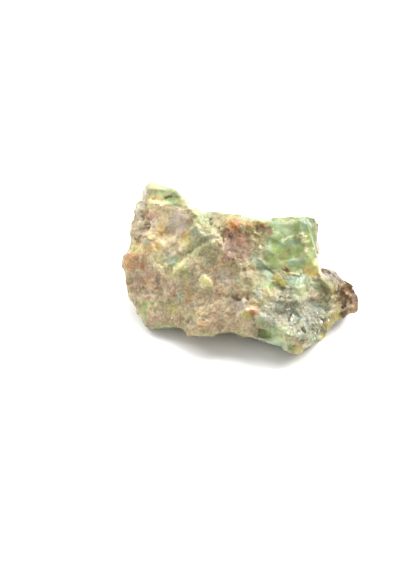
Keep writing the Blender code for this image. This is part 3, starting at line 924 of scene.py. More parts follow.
# %% Patches of the valley and the middle block
MIDDLE = [
    ("khaki", -21.3, 4.4, 1.4, 1.6, 0, 0.8),
    ("grey", -19.0, 3.0, 0.8, 1.6, 0, 0.9),
    ("sea", -17.2, 2.2, 1.5, 1.5, 0, 0.8),
    ("lilac", -17.7, 4.9, 0.8, 1.2, 0, 0.7),
    ("moss", -18.4, 0.8, 0.9, 0.45, -20, 0.8),
    ("leaf", -20.2, 0.6, 1.2, 0.7, 0, 0.5),
    ("sand", -19.4, 6.2, 1.8, 1.2, 0, 0.6),
    ("white", -15.6, 5.2, 0.5, 0.35, 0, 0.9),
    ("lemon", -15.2, 0.8, 1.6, 1.3, 30, 0.6),
    ("pale_green", -14.6, 2.0, 1.5, 0.6, 50, 0.8),
    ("lemon", -18.6, -1.6, 1.6, 0.6, 15, 0.6),
    ("olive", -19.4, -0.7, 0.7, 0.4, 0, 0.8),
    ("leaf", -14.2, -1.0, 1.2, 1.4, 0, 0.35),
    ("grey", -15.7, -2.2, 0.8, 0.8, 0, 0.6),
    ("pale_yellow", -16.6, 0.0, 0.9, 0.35, 45, 0.8),
    ("bottle", -13.0, 4.3, 1.3, 0.35, 25, 0.8),
    ("moss", -11.0, 4.0, 0.5, 0.4, 0, 0.6),
    ("amber", -14.4, 9.0, 1.9, 0.45, 42, 0.8),
    ("lemon", -13.4, 7.4, 1.4, 1.2, 0, 0.5),
    ("leaf", -13.2, 7.2, 1.2, 1.0, 0, 0.4),
    ("cream", -16.0, 7.4, 0.7, 1.0, 0, 0.6),
    ("leaf", -9.6, 14.0, 3.2, 1.0, 5, 0.6),
    ("pale_green", -9.0, 15.0, 3.0, 0.5, 3, 0.8),
    ("khaki", -2.6, 14.0, 4.6, 0.9, -8, 0.8),
    ("leaf", -9.4, 13.2, 2.2, 1.3, 0, 0.45),
    ("pale_yellow", -11.6, 12.9, 1.0, 0.3, 52, 0.8),
    ("sea", -11.4, 8.6, 1.6, 1.8, 0, 0.55),
    ("sea", -12.0, 6.4, 0.9, 1.2, 0, 0.5),
    ("grey", -8.4, 8.6, 1.4, 1.6, 0, 0.6),
    ("khaki", -8.2, 11.2, 1.4, 0.9, 0, 0.4),
    ("pale_grey", -10.9, 10.2, 1.4, 1.0, 0, 0.6),
    ("dark_grey", -9.8, 6.6, 0.6, 1.4, 20, 0.5),
    ("brown", -10.6, 4.6, 0.9, 0.6, 0, 0.4),
    ("mauve", -6.3, 14.0, 0.8, 0.9, 0, 0.75),
    ("umber", -5.9, 14.4, 0.4, 0.25, 0, 0.8),
    ("black", -7.6, 12.0, 0.4, 0.28, 0, 1.0),
    ("black", -7.7, 13.8, 0.3, 0.28, 0, 0.9),
    ("black", -7.6, 13.0, 0.18, 0.4, 0, 0.8),
    ("umber", -6.6, 11.5, 0.7, 0.2, -35, 0.8),
    ("umber", -5.9, 10.6, 0.25, 0.6, 0, 0.7),
    ("olive", -4.9, 12.2, 0.8, 1.0, 0, 0.7),
    ("lemon", -5.4, 9.0, 0.35, 1.2, 0, 0.8),
    ("olive", -6.6, 8.6, 0.5, 0.9, 0, 0.5),
    ("lilac", -6.4, 5.2, 1.4, 1.0, 0, 0.5),
    ("blue_grey", -8.5, 2.3, 1.0, 0.9, 0, 0.7),
    ("grey", -9.4, -0.9, 1.5, 0.6, 10, 0.8),
    ("dark_grey", -9.9, 0.6, 0.9, 0.5, 0, 0.35),
    ("cream", -12.0, 2.4, 1.2, 0.8, 0, 0.45),
    ("grey", -12.4, -0.4, 1.2, 1.0, 0, 0.4),
    ("lemon", -14.6, -2.4, 0.6, 1.4, 0, 0.4),
]
lay(MIDDLE)
print(len(MIDDLE), "patches")

# %% [markdown]
# ### The rusty patch
# Iron came in through a crack here: amber along the top, orange where it is thickest, and brown
# with dark pits below.

# %% Patches of rust
RUSTY = [
    ("mauve", -3.0, 4.6, 1.6, 2.4, 0, 0.7),
    ("rust", -1.2, 8.4, 2.4, 2.4, 0, 0.5),
    ("brown", 1.0, 9.0, 1.8, 1.6, 0, 0.5),
    ("olive", 2.4, 10.8, 2.8, 1.5, 0, 0.9),
    ("amber", -3.2, 12.6, 1.2, 0.6, 10, 0.9),
    ("khaki", -3.0, 14.2, 4.4, 0.9, -6, 0.8),
    ("amber", 2.4, 12.2, 4.4, 0.7, -4, 0.95),
    ("amber", 5.8, 12.3, 1.4, 0.35, -5, 0.7),
    ("orange", -1.3, 12.1, 1.1, 1.0, 0, 1.0),
    ("orange", -1.8, 10.9, 1.2, 0.6, -20, 0.8),
    ("lemon", -1.6, 13.4, 1.6, 0.35, 0, 0.7),
    ("rust", 0.4, 8.2, 0.9, 1.5, 0, 0.6),
    ("rust", 2.0, 7.2, 0.8, 1.3, 0, 0.55),
    ("umber", -2.4, 9.0, 0.45, 0.9, 0, 0.85),
    ("umber", -2.6, 7.6, 0.4, 0.3, 0, 0.7),
    ("umber", -3.6, 10.6, 0.5, 0.5, 0, 0.6),
    ("umber", 2.4, 9.3, 1.0, 0.5, 20, 0.6),
    ("pink_tan", -3.9, 7.4, 0.6, 1.6, 0, 0.6),
    ("pink_tan", -3.4, 3.2, 1.0, 0.9, 0, 0.5),
    ("umber", -2.0, 5.0, 1.3, 0.6, 0, 0.7),
    ("umber", -0.9, 3.2, 0.6, 0.35, 0, 0.7),
    ("umber", -2.0, 2.4, 0.8, 0.25, 0, 0.5),
    ("lilac", 1.6, 4.9, 0.6, 0.5, 0, 0.6),
    ("umber", 0.8, 4.6, 0.3, 0.6, 30, 0.5),
    ("orange", -4.6, 2.6, 0.7, 0.4, -45, 0.8),
    ("orange", -2.9, 2.2, 1.3, 0.3, 0, 0.5),
    ("cream", -5.5, 3.2, 0.5, 0.9, 0, 0.7),
    ("brown", 6.4, 10.9, 2.0, 1.1, -22, 0.9),
    ("umber", 6.4, 11.0, 1.4, 0.7, -22, 0.4),
    ("brown", 8.0, 10.0, 1.0, 0.8, -10, 0.8),
    ("mauve", 5.6, 10.6, 0.9, 0.5, 0, 0.5),
    ("lilac", 5.6, 11.0, 0.5, 0.4, 0, 0.5),
    ("olive", 7.2, 8.4, 0.8, 1.6, 0, 0.6),
    ("olive", 3.2, 8.6, 1.0, 1.4, 0, 0.5),
    ("lemon", 4.8, 9.4, 0.9, 0.45, -10, 0.8),
    ("khaki", 5.2, 7.6, 1.4, 0.9, 0, 0.6),
    ("moss", 4.2, 5.4, 1.8, 1.2, 0, 0.6),
    ("brown", 2.6, 4.0, 1.4, 0.6, 10, 0.4),
]
lay(RUSTY)
print(len(RUSTY), "patches")

# %% [markdown]
# ### The clean green opal
# Smooth, milky green at the right top, with a net of cream crust and two red-brown spots. A
# white streak on its smooth scoop is a painted highlight.

# %% Patches of green opal
GREEN = [
    ("mint", 11.6, 10.8, 2.4, 1.9, 0, 0.9),
    ("pale_green", 13.4, 9.8, 1.6, 1.0, 0, 0.7),
    ("sea", 9.0, 12.3, 1.6, 0.7, 5, 0.8),
    ("pale_green", 10.0, 11.6, 0.7, 1.2, 0, 0.7),
    ("leaf", 14.9, 11.5, 1.0, 1.2, 0, 0.9),
    ("sea", 17.0, 11.8, 1.2, 1.8, 0, 0.75),
    ("moss", 17.3, 10.1, 0.9, 0.5, 0, 0.35),
    ("leaf", 17.4, 13.2, 2.2, 0.5, 0, 0.8),
    ("sea", 7.6, 6.6, 1.2, 2.8, -10, 0.6),
    ("leaf", 9.4, 5.0, 1.8, 2.8, 10, 0.9),
    ("sea", 13.4, 6.8, 2.8, 0.8, 0, 0.8),
    ("mint", 10.9, 7.4, 1.0, 0.9, 0, 0.7),
    ("leaf", 14.0, 5.2, 2.2, 0.8, 0, 0.7),
    ("olive", 11.7, 4.0, 0.9, 1.2, 0, 0.7),
    ("olive", 11.0, 2.2, 1.6, 1.0, 0, 0.6),
    ("leaf", 8.6, 2.2, 1.2, 1.6, 0, 0.8),
    ("mauve", 9.6, 2.9, 0.9, 0.4, 0, 0.4),
    ("sea", 15.4, 2.2, 2.0, 0.9, 10, 0.8),
    ("blue_grey", 13.6, 1.6, 0.9, 0.8, 0, 0.5),
    ("leaf", 18.6, 4.0, 1.2, 2.0, 0, 0.8),
    ("khaki", 18.7, 8.4, 0.9, 2.6, 0, 0.5),
    ("olive", 18.4, 11.0, 0.8, 1.2, 0, 0.5),
    ("cream", 13.1, 12.5, 0.9, 0.6, 20, 0.7),
    ("amber", 12.6, 12.1, 0.4, 0.4, 0, 0.4),
    ("white", 14.9, 13.0, 1.2, 0.18, 8, 0.8),
    ("umber", 13.8, 13.4, 0.7, 0.15, 20, 0.7),
    ("umber", 15.2, 13.8, 0.5, 0.15, 0, 0.6),
    # Painted highlight: the white streak on the smooth scoop.
    ("white", 12.9, 8.7, 1.1, 0.28, 18, 0.95),
    ("white", 11.4, 8.2, 0.9, 0.2, 5, 0.6),
    ("cream", 16.6, 8.7, 1.3, 1.0, 0, 0.30),
    ("tan", 15.8, 8.2, 0.6, 0.5, 0, 0.6),
    ("amber", 17.6, 8.1, 0.7, 0.5, 0, 0.5),
    ("moss", 14.7, 9.0, 0.3, 0.6, 0, 0.6),
    ("olive", 17.6, 6.4, 1.2, 0.3, -5, 0.8),
    ("white", 18.3, 10.8, 0.2, 0.5, 0, 0.8),
    ("tan", 17.2, 5.3, 0.9, 0.7, 0, 0.45),
    ("pink_tan", 16.1, 3.5, 1.1, 0.45, 0, 0.6),
    ("rust", 12.5, 5.1, 0.5, 0.3, 15, 0.95),
    ("umber", 12.5, 5.2, 0.25, 0.15, 15, 0.8),
    ("white", 13.9, 3.4, 0.2, 0.5, 35, 0.95),
    ("pale_green", 9.5, 4.1, 0.3, 0.6, 0, 0.6),
    ("umber", 12.1, 0.1, 0.9, 0.3, -15, 0.9),
    ("rust", 12.9, -0.6, 0.6, 0.4, -30, 0.9),
    ("pale_green", 15.3, -0.3, 1.3, 0.6, 0, 0.7),
    ("moss", 15.3, -1.2, 1.4, 0.25, 5, 0.7),
    ("khaki", 10.6, -1.0, 1.6, 0.6, 0, 0.6),
]
lay(GREEN)
print(len(GREEN), "patches")

# %% [markdown]
# ### From the green opal down to the sugar
# A pale blue-green streak, lemon ledges, a waxy blob, and then the grey sugary corner.

# %% Patches of the right middle and the sugary corner
SUGARY = [
    ("sea", 4.0, 3.2, 1.4, 1.6, 0, 0.7),
    ("sea", 5.4, 1.2, 1.8, 0.9, -35, 0.8),
    ("dark_grey", 5.0, 0.9, 1.2, 0.5, -35, 0.25),
    ("sea", 6.4, 0.2, 1.3, 2.2, 30, 0.8),
    ("sea", 7.4, -1.6, 0.8, 1.2, 20, 0.8),
    ("white", 6.8, -0.1, 0.3, 0.2, 0, 0.8),
    ("brown", 2.4, -0.2, 2.0, 1.4, 0, 0.35),
    ("olive", 1.4, 1.6, 1.4, 0.9, 0, 0.4),
    ("orange", 3.6, -1.6, 0.8, 0.5, 0, 0.4),
    ("leaf", 5.2, -1.8, 1.0, 0.7, 0, 0.6),
    ("bottle", 7.9, -2.8, 0.4, 0.28, 0, 0.9),
    ("leaf", 8.0, -4.0, 1.6, 1.1, 0, 0.6),
    ("lemon", 10.6, -3.0, 1.6, 0.8, -10, 0.8),
    ("amber", 10.4, -3.6, 0.6, 0.4, 0, 0.5),
    ("amber", 7.6, -5.9, 1.5, 0.5, -5, 0.5),
    ("khaki", 6.4, -8.4, 1.8, 1.4, 0, 0.7),
    ("blue_grey", 4.7, -5.4, 1.0, 0.6, 0, 0.7),
    ("lilac", 4.4, -6.6, 1.2, 1.0, 0, 0.6),
    ("dark_grey", 5.0, -6.9, 0.4, 0.6, 0, 0.6),
    ("khaki", 13.0, -1.9, 1.6, 0.6, 0, 0.6),
    ("sea", 15.4, -2.6, 2.6, 1.6, 0, 0.8),
    ("bottle", 15.0, -1.9, 1.6, 0.6, 0, 0.5),
    ("moss", 13.8, -3.8, 0.7, 1.2, 0, 0.6),
    ("pale_grey", 15.6, -3.2, 0.6, 0.6, 0, 0.4),
    ("sea", 18.6, -4.4, 2.0, 1.2, 0, 0.6),
    ("moss", 17.8, -4.4, 0.7, 1.2, 0, 0.5),
    ("lemon", 19.0, 0.2, 2.1, 1.9, 0, 1.0),
    ("pale_yellow", 20.0, 1.6, 0.7, 0.7, 0, 0.8),
    ("amber", 17.8, -0.5, 0.9, 0.5, 0, 0.7),
    ("orange", 18.5, -0.6, 0.4, 0.25, 0, 0.7),
    ("lemon", 20.3, -0.8, 0.9, 1.0, 0, 0.7),
    ("amber", 20.3, -1.5, 0.5, 0.4, 0, 0.6),
    ("pale_yellow", 19.3, 1.4, 0.7, 0.4, 0, 0.7),
    ("pale_green", 21.6, -2.4, 0.8, 0.5, 0, 0.8),
    ("khaki", 20.0, -3.2, 1.2, 1.0, 0, 0.7),
    ("brown", 20.6, -4.9, 1.3, 0.7, 0, 0.5),
    ("pale_green", 15.4, -6.0, 1.8, 2.3, 0, 0.8),
    ("lemon", 15.6, -6.4, 1.0, 1.0, 0, 0.4),
    ("cream", 16.2, -7.7, 1.3, 0.6, 10, 0.8),
    ("pale_yellow", 17.2, -6.4, 0.4, 1.0, 0, 0.8),
    ("white", 12.5, -5.0, 0.7, 0.8, 30, 0.9),
    ("white", 12.8, -6.4, 0.35, 0.4, 0, 0.9),
    ("grey", 11.5, -6.0, 1.0, 0.7, 0, 0.6),
    ("bottle", 11.0, -6.2, 0.5, 0.25, 0, 0.4),
    ("cream", 9.8, -5.8, 0.9, 0.4, 10, 0.7),
    ("pink_tan", 8.6, -7.0, 1.4, 0.6, 0, 0.5),
    ("lilac", 12.4, -9.0, 2.4, 1.0, 0, 0.6),
    ("pale_grey", 10.4, -9.8, 1.4, 0.8, 0, 0.6),
    ("dark_grey", 10.8, -11.0, 1.2, 0.4, -15, 0.7),
    ("pale_grey", 7.6, -12.6, 2.2, 1.0, -25, 0.85),
    ("blue_grey", 9.4, -12.8, 1.4, 0.9, 0, 0.6),
    ("lilac", 11.4, -13.0, 1.2, 1.2, 0, 0.6),
    ("sea", 15.4, -11.6, 0.9, 0.9, 0, 0.7),
    ("pale_green", 14.4, -13.2, 1.2, 0.7, 0, 0.6),
    ("sand", 17.2, -11.2, 1.2, 0.7, 0, 0.6),
    ("blue_grey", 17.2, -13.4, 1.5, 1.5, 0, 0.8),
    ("pale_grey", 18.2, -12.8, 0.7, 0.5, 0, 0.6),
    ("blue_grey", 19.6, -9.5, 1.7, 0.8, 0, 0.8),
    ("pale_green", 20.8, -8.6, 1.6, 0.25, -5, 0.6),
    ("mauve", 19.8, -12.6, 1.1, 0.9, 0, 0.5),
    ("white", 20.4, -15.0, 0.9, 1.5, -20, 0.8),
    ("sand", 21.0, -16.8, 0.7, 0.8, 0, 0.7),
    ("pale_grey", 18.6, -19.4, 1.2, 0.5, 20, 0.6),
    ("sea", 18.8, -17.4, 1.1, 1.6, 0, 0.6),
    ("leaf", 19.2, -18.4, 0.8, 0.8, 0, 0.5),
    ("mauve", 20.0, -7.0, 1.1, 0.35, 40, 0.5),
    ("pink_tan", 19.2, -7.5, 1.3, 0.25, 15, 0.7),
    ("brown", 22.4, -6.6, 1.6, 1.2, 0, 0.4),
    ("moss", 23.8, -7.8, 1.6, 1.0, 0, 0.7),
    ("khaki", 23.4, -11.2, 1.8, 0.8, 0, 0.6),
    ("grey", 22.6, -9.6, 1.2, 0.6, 0, 0.6),
    ("khaki", 25.4, -10.0, 1.4, 1.2, 0, 0.7),
    ("black", 13.2, -14.5, 0.8, 0.25, -10, 0.9),
    ("black", 16.7, -15.6, 0.45, 0.35, 0, 0.8),
    ("umber", 12.9, -12.6, 0.25, 0.5, 0, 0.7),
    ("umber", 18.7, -11.2, 0.5, 0.4, 0, 0.7),
    ("umber", 16.4, -18.1, 0.7, 0.25, 20, 0.7),
    ("umber", 22.2, -12.7, 0.3, 0.25, 0, 0.8),
    ("umber", 21.6, -13.9, 0.4, 0.8, 0, 0.8),
    ("black", 23.0, -9.9, 0.35, 0.2, -20, 0.7),
]
lay(SUGARY)
print(len(SUGARY), "patches")

# %% [markdown]
# ### The bottom edge and the tip
# Mint opal shows again along the bottom edge, with a dark green hollow above it. The edge faces
# down to the white table, so its mint and pale grey are painted lighter, as bounce light, and the
# hollow's dark green is painted darker, as the shade under the overhang.

# %% Patches of the bottom edge
BOTTOM = [
    ("leaf", 5.2, -13.6, 1.4, 0.7, -15, 0.7),
    # Mint: opal painted lighter as bounce light from the white table, here and in the mint and pale
    # grey below.
    ("mint", 8.6, -15.0, 2.4, 0.8, -22, 0.8),
    # Moss, bottle and umber down to the next mint: the hollow's dark green, painted darker as the shade
    # under the overhang.
    ("moss", 6.6, -16.6, 2.0, 1.1, -18, 0.9),
    ("bottle", 7.0, -17.2, 1.3, 0.9, -15, 0.9),
    ("bottle", 4.6, -15.5, 1.7, 0.35, -35, 0.9),
    ("umber", 3.4, -14.5, 0.7, 0.25, -45, 0.7),
    ("mint", 9.4, -17.2, 1.2, 1.2, -30, 0.8),
    ("pale_grey", 10.4, -19.4, 2.4, 0.8, -30, 0.9),
    ("pale_grey", 5.2, -18.2, 2.2, 0.5, -27, 0.9),
    ("lemon", 11.4, -17.8, 0.9, 0.7, 0, 0.7),
    ("amber", 11.6, -17.4, 0.4, 0.3, 0, 0.5),
    ("leaf", 13.6, -17.2, 1.4, 0.9, 0, 0.5),
    ("pale_green", 14.2, -16.2, 2.2, 0.7, 0, 0.5),
    ("lemon", 13.4, -18.4, 0.9, 0.5, 0, 0.5),
    ("sand", 15.4, -18.8, 1.6, 0.9, 0, 0.6),
    ("brown", 15.6, -20.0, 1.4, 0.6, 0, 0.45),
    ("moss", 13.0, -20.8, 0.7, 0.8, 0, 0.8),
    ("lemon", 15.0, -21.4, 1.4, 0.5, 0, 0.8),
    ("amber", 15.0, -21.2, 0.4, 0.3, 0, 0.5),
    ("umber", 13.8, -21.4, 0.2, 0.5, 0, 0.7),
    ("umber", 14.2, -20.1, 0.25, 0.4, 0, 0.7),
    ("brown", 17.0, -21.0, 0.8, 0.6, 0, 0.6),
    ("cream", 17.8, -19.9, 1.1, 0.4, 0, 0.6),
    ("sand", 1.8, -15.6, 3.0, 1.4, -20, 0.8),
    ("pale_yellow", 0.6, -16.6, 2.6, 0.4, -15, 0.6),
    ("sea", -2.4, -16.3, 1.4, 0.3, -10, 0.6),
]
lay(BOTTOM)
print(len(BOTTOM), "patches")

# %% [markdown]
# ### The middle low
# Pinkish tan rock with a lemon blob, two grey hollows and a rusty chip with a white edge.

# %% Patches of the middle low
MIDDLE_LOW = [
    ("lilac", -4.6, -1.2, 2.0, 1.8, 0, 0.7),
    ("lilac", -3.4, -3.2, 1.6, 1.2, 0, 0.5),
    ("mauve", -6.5, -1.4, 0.8, 2.2, -8, 0.5),
    ("rust", -4.2, 0.4, 0.4, 1.6, 0, 0.35),
    ("orange", -6.4, -0.2, 0.5, 1.0, 0, 0.4),
    ("brown", -1.0, 0.8, 1.4, 1.0, 0, 0.35),
    ("pale_yellow", -9.1, -3.1, 2.0, 1.25, -5, 1.0),
    ("lemon", -8.8, -3.4, 1.0, 0.7, 0, 0.4),
    ("khaki", -8.6, -5.0, 1.2, 0.6, 0, 0.7),
    ("lemon", -8.2, -5.2, 0.5, 0.3, 0, 0.5),
    ("grey", -12.7, -3.5, 1.0, 0.9, 0, 0.7),
    ("white", -11.5, -4.0, 0.6, 0.4, -20, 0.6),
    ("orange", -14.0, -4.4, 1.2, 0.7, 0, 0.4),
    ("orange", -13.8, -7.0, 0.8, 2.2, 5, 0.4),
    ("blue_grey", -0.5, -2.5, 1.1, 0.5, -25, 0.85),
    ("blue_grey", 2.3, -4.8, 0.9, 0.4, 10, 0.6),
    ("rust", 2.0, -2.3, 1.2, 0.9, 0, 0.35),
    ("amber", -1.8, -0.3, 0.6, 0.3, 0, 0.5),
    ("sand", -2.6, -5.4, 2.4, 0.9, 0, 0.5),
    ("lilac", -0.2, -9.3, 2.4, 2.2, 0, 0.85),
    ("dark_grey", -0.6, -7.4, 0.8, 0.6, 0, 0.75),
    ("umber", -0.5, -7.3, 0.5, 0.35, 0, 0.5),
    ("dark_grey", 1.5, -8.1, 0.5, 1.1, -10, 0.8),
    ("umber", 1.7, -7.1, 0.35, 0.4, 0, 0.7),
    ("black", -1.2, -9.6, 0.3, 0.2, 0, 0.9),
    ("brown", -2.4, -10.8, 0.6, 1.0, 0, 0.35),
    ("mauve", -5.0, -7.4, 1.0, 0.9, 0, 0.5),
    ("umber", -5.3, -7.0, 0.4, 0.25, 40, 0.6),
    ("umber", -4.6, -8.1, 0.3, 0.2, 0, 0.5),
    ("cream", -7.6, -6.6, 0.3, 1.2, -25, 0.5),
    ("mauve", -9.4, -7.2, 1.2, 0.6, 0, 0.4),
    ("cream", -3.4, -7.8, 0.8, 0.6, 0, 0.5),
    ("white", -8.1, -8.9, 0.4, 0.3, 0, 0.8),
    ("sand", -10.8, -8.8, 2.2, 2.2, 0, 0.8),
    ("lemon", -11.0, -11.2, 1.2, 0.9, 0, 0.35),
    ("grey", -12.7, -9.6, 0.7, 0.9, 0, 0.7),
    ("umber", -12.4, -8.6, 0.3, 0.2, 0, 0.7),
    ("umber", -11.4, -4.9, 0.25, 0.18, 0, 0.7),
    ("brown", -15.6, -13.2, 0.8, 1.9, 5, 0.7),
    ("khaki", -12.4, -12.4, 1.6, 0.9, 0, 0.8),
    ("moss", -12.0, -12.2, 0.8, 0.4, 0, 0.4),
    ("dark_grey", -13.2, -13.6, 0.9, 0.9, 0, 0.6),
    ("lilac", -12.8, -14.6, 0.6, 0.9, 0, 0.5),
    ("brown", -9.7, -12.8, 0.8, 0.6, 20, 0.7),
    ("moss", -9.6, -12.6, 0.5, 0.3, 20, 0.5),
    ("mauve", -7.4, -12.4, 1.2, 2.0, 0, 0.5),
    ("pink_tan", -5.0, -10.6, 1.6, 1.4, 0, 0.6),
    ("orange", -9.0, -14.9, 1.2, 1.1, 0, 0.35),
    ("amber", -11.2, -14.8, 1.0, 1.1, 0, 0.6),
    ("cream", -10.6, -15.5, 0.6, 0.4, 0, 0.7),
    ("tan", -12.8, -16.6, 1.6, 0.7, 0, 0.7),
    ("orange", -13.0, -16.4, 1.0, 0.4, 0, 0.4),
    ("pale_yellow", -10.2, -17.4, 2.4, 0.4, 3, 0.9),
    ("pale_yellow", -13.9, -17.2, 0.7, 0.3, -35, 0.7),
    ("cream", -6.8, -16.2, 1.2, 0.5, 15, 0.5),
    ("cream", -2.4, -13.3, 0.8, 0.5, 0, 0.7),
    ("orange", -1.7, -14.4, 0.5, 0.5, 0, 0.45),
    ("olive", 3.5, -8.0, 0.9, 0.7, 0, 0.6),
    ("amber", 3.8, -9.0, 0.9, 0.35, -30, 0.8),
    ("umber", 4.6, -9.6, 0.25, 0.4, 0, 0.9),
    ("lemon", 1.8, -12.0, 1.2, 0.8, 0, 0.8),
    ("rust", 3.4, -11.3, 1.4, 0.9, 30, 0.95),
    ("amber", 2.6, -12.2, 1.0, 0.5, 0, 0.6),
    ("white", 0.6, -11.2, 1.6, 0.35, 30, 0.9),
    ("white", 2.2, -10.2, 0.8, 0.3, 40, 0.6),
    ("khaki", 0.4, -13.0, 2.4, 0.5, -15, 0.4),
]
lay(MIDDLE_LOW)
print(len(MIDDLE_LOW), "patches")

# %% [markdown]
# ### The knob at the right end
# The rustiest part, set back behind the main body, with a lemon drop of opal at its root. Above
# it, a thin sliver of the end shows beyond the right edge, lilac and then mauve. Shade falls on
# the top of the knob and on the sliver, so their lilac is laid right through the stone and at full
# share: lilac colour and painted light over that shade.

# %% Patches of the knob
KNOB = [
    ("leaf", 18.9, 10.6, 1.5, 3.4, 0, 0.9),
    ("sea", 17.6, 12.2, 1.4, 1.2, 0, 0.7),
    # Lilac on the top of the knob: its colour, and painted light over the shade there.
    ("lilac", 23.6, -0.9, 2.6, 1.1, -33, 0.9),
    ("mauve", 23.2, -1.4, 1.6, 0.5, -25, 0.5),
    ("khaki", 22.0, 0.6, 1.2, 0.5, -20, 0.7),
    ("white", 22.7, -1.1, 0.5, 0.15, 25, 0.6),
    ("pink_tan", 26.0, -2.7, 2.0, 0.5, -25, 0.9),
    ("lilac", 27.6, -2.9, 0.8, 0.3, -30, 0.5),
    ("amber", 27.4, -4.0, 2.4, 0.6, -12, 0.6),
    ("rust", 28.6, -5.2, 1.6, 1.2, 0, 0.8),
    ("brown", 27.6, -4.6, 2.4, 0.9, -15, 0.6),
    ("rust", 30.3, -7.4, 0.6, 2.6, 8, 0.9),
    ("khaki", 31.0, -6.6, 0.3, 1.6, 0, 0.6),
    ("rust", 29.2, -7.8, 0.7, 1.0, 0, 0.8),
    ("umber", 26.2, -5.4, 1.3, 0.9, -20, 0.85),
    ("dark_grey", 27.4, -7.2, 1.1, 0.5, -15, 0.8),
    ("pale_grey", 26.6, -7.8, 0.4, 0.25, 30, 0.8),
    ("lilac", 28.6, -8.8, 0.5, 1.1, 30, 0.8),
    ("black", 27.3, -9.4, 0.3, 0.5, -20, 0.9),
    ("khaki", 26.2, -9.2, 0.9, 0.8, 0, 0.7),
    ("umber", 27.6, -11.0, 1.0, 0.8, 0, 0.8),
    ("orange", 29.8, -10.4, 1.0, 0.6, 15, 0.8),
    ("lilac", 28.0, -12.2, 0.8, 0.4, 30, 0.6),
    ("black", 31.0, -7.0, 0.25, 0.3, 0, 0.7),
    ("mustard", 24.0, -4.4, 1.4, 1.7, -30, 1.0),
    ("lemon", 23.6, -3.8, 0.7, 0.9, -30, 0.5),
    ("pale_yellow", 25.1, -4.0, 0.25, 1.2, 0, 0.8),
    ("pale_yellow", 23.8, -2.8, 1.1, 0.2, -12, 0.8),
    ("moss", 23.4, -6.6, 1.0, 0.8, 0, 0.6),
    ("mustard", 24.8, -12.2, 2.2, 1.2, 25, 0.9),
    ("mustard", 23.6, -14.4, 1.3, 1.0, 35, 0.8),
    ("lemon", 25.6, -11.4, 1.2, 0.4, 30, 0.5),
    ("amber", 22.9, -15.2, 1.0, 0.9, 20, 0.7),
    ("olive", 22.6, -15.4, 0.7, 0.5, 0, 0.5),
    ("lemon", 22.0, -17.4, 0.8, 1.0, -35, 0.7),
    ("umber", 23.8, -14.6, 0.5, 0.4, 0, 0.4),
]
lay(KNOB, depth=1)
SLIVER_EDGE = (19.7, 20.1)
SLIVER_FOOT = (1.2, 2.4)
MAUVE_EDGE = (20.4, 20.8)
MAUVE_SHARE = 0.4
# The sliver is stained lilac at full share: its colour, and painted light over the shade on the end.
sliver = smooth_step(*SLIVER_EDGE, seen_x) * smooth_step(*SLIVER_FOOT, seen_y)
stain("lilac", sliver)
stain("mauve", MAUVE_SHARE * smooth_step(*MAUVE_EDGE, seen_x) * sliver)
print(len(KNOB), "patches")

# %% [markdown]
# ### Seams
# The seams were set with the relief, so that each line is both a colour and a small ridge or
# crack.

# %% Colour the seams
for title, half_wide, share, line in SEAMS:
    stain(title, share * seam(line, half_wide))
print(len(SEAMS), "seams")

# %% [markdown]
# ### Edges, crevices and grains
# Broken edges get painted light: cream and white strokes for the light that passes through
# their thin rims. The crevices, where the textures sink lowest, are tinted brown. The textures'
# own height tells which is which. Grains about a millimetre across then take one of their zone's
# colours by the luck of their own cell, and get a little lighter or darker by it. A few single
# cream grains are painted glints and pale grains at once. Each mix is its colours, a luck, a
# share and a zone. Each stroke is a colour, a share and where it lies.

# %% Pale edges, dark crevices and single grains
CREVICE_FROM, CREVICE_TO = -0.05, -0.24
CREVICE_SHARE = 0.22
GRAIN_CONTRAST = 0.14
LUCKIEST = 0.98
BASE_GRAIN = 0.12
SUGAR_GRAIN = 0.20
CRUMB_GRAIN = 0.45
WAX_CALM = 0.1
UPPER_LEFT_CALM = 0.6
RUST_GRAIN = 0.2
grainy = BASE_GRAIN + SUGAR_GRAIN * sugary + CRUMB_GRAIN * crumbly - WAX_CALM * waxy
# The grain is calmed over the upper left, which is painted lighter further on.
grainy = np.clip(grainy, 0, 1) * (1 - UPPER_LEFT_CALM * patch(-19.5, 11.0, 8.0, 8.0))
grainy += RUST_GRAIN * rust_zone
fine_cracks = sugary * (1 - smooth_step(0.03, 0.12, edge_fine)) * (1 - edge_light_flecks)
GRAIN_MIXES = [
    (["cream", "tan", "amber", "pink_tan", "sand", "pale_yellow", "grey"], luck_grain, 0.14, rock_zone),
    (["lemon", "leaf", "khaki", "grey", "moss", "pale_grey", "sea"], luck_grain, 0.18, block_zone),
    (["rust", "umber", "brown", "mauve", "olive", "brown"], luck_grain, 0.22, rust_zone),
    (["khaki", "leaf", "sea", "lemon", "olive", "lilac"], luck_grain, 0.20, valley_zone),
    (["cream", "blue_grey", "grey", "sea", "khaki", "moss", "lilac"], luck_fine, 0.28, corner_zone),
    (["pale_grey", "moss", "grey", "sea", "dark_grey", "leaf"], luck_grain, 0.22, corner_zone),
    (["rust", "umber", "orange", "brown", "olive"], luck_grain, 0.25, knob_zone),
]
# Cream, pale yellow and white strokes along the shard edges are painted light, the glow of their thin
# rims; the umber ones are cracks.
STROKES = [
    ("cream", 0.40, rock_zone * edge_light_strokes),
    ("umber", 0.35, rock_zone * dark_strokes),
    ("pale_yellow", 0.35, (block_zone + valley_zone) * edge_light_strokes),
    ("cream", 0.28, rock_zone * edge_light_flecks),
    ("white", 0.12, corner_zone * edge_light_flecks),
    ("umber", 0.30, fine_cracks),
    ("umber", 0.45, (rust_zone + knob_zone) * dark_strokes),
    # Single cream grains: painted glints and pale grains.
    ("cream", 0.40, (1 - waxy) * (luck_grain > LUCKIEST)),
]
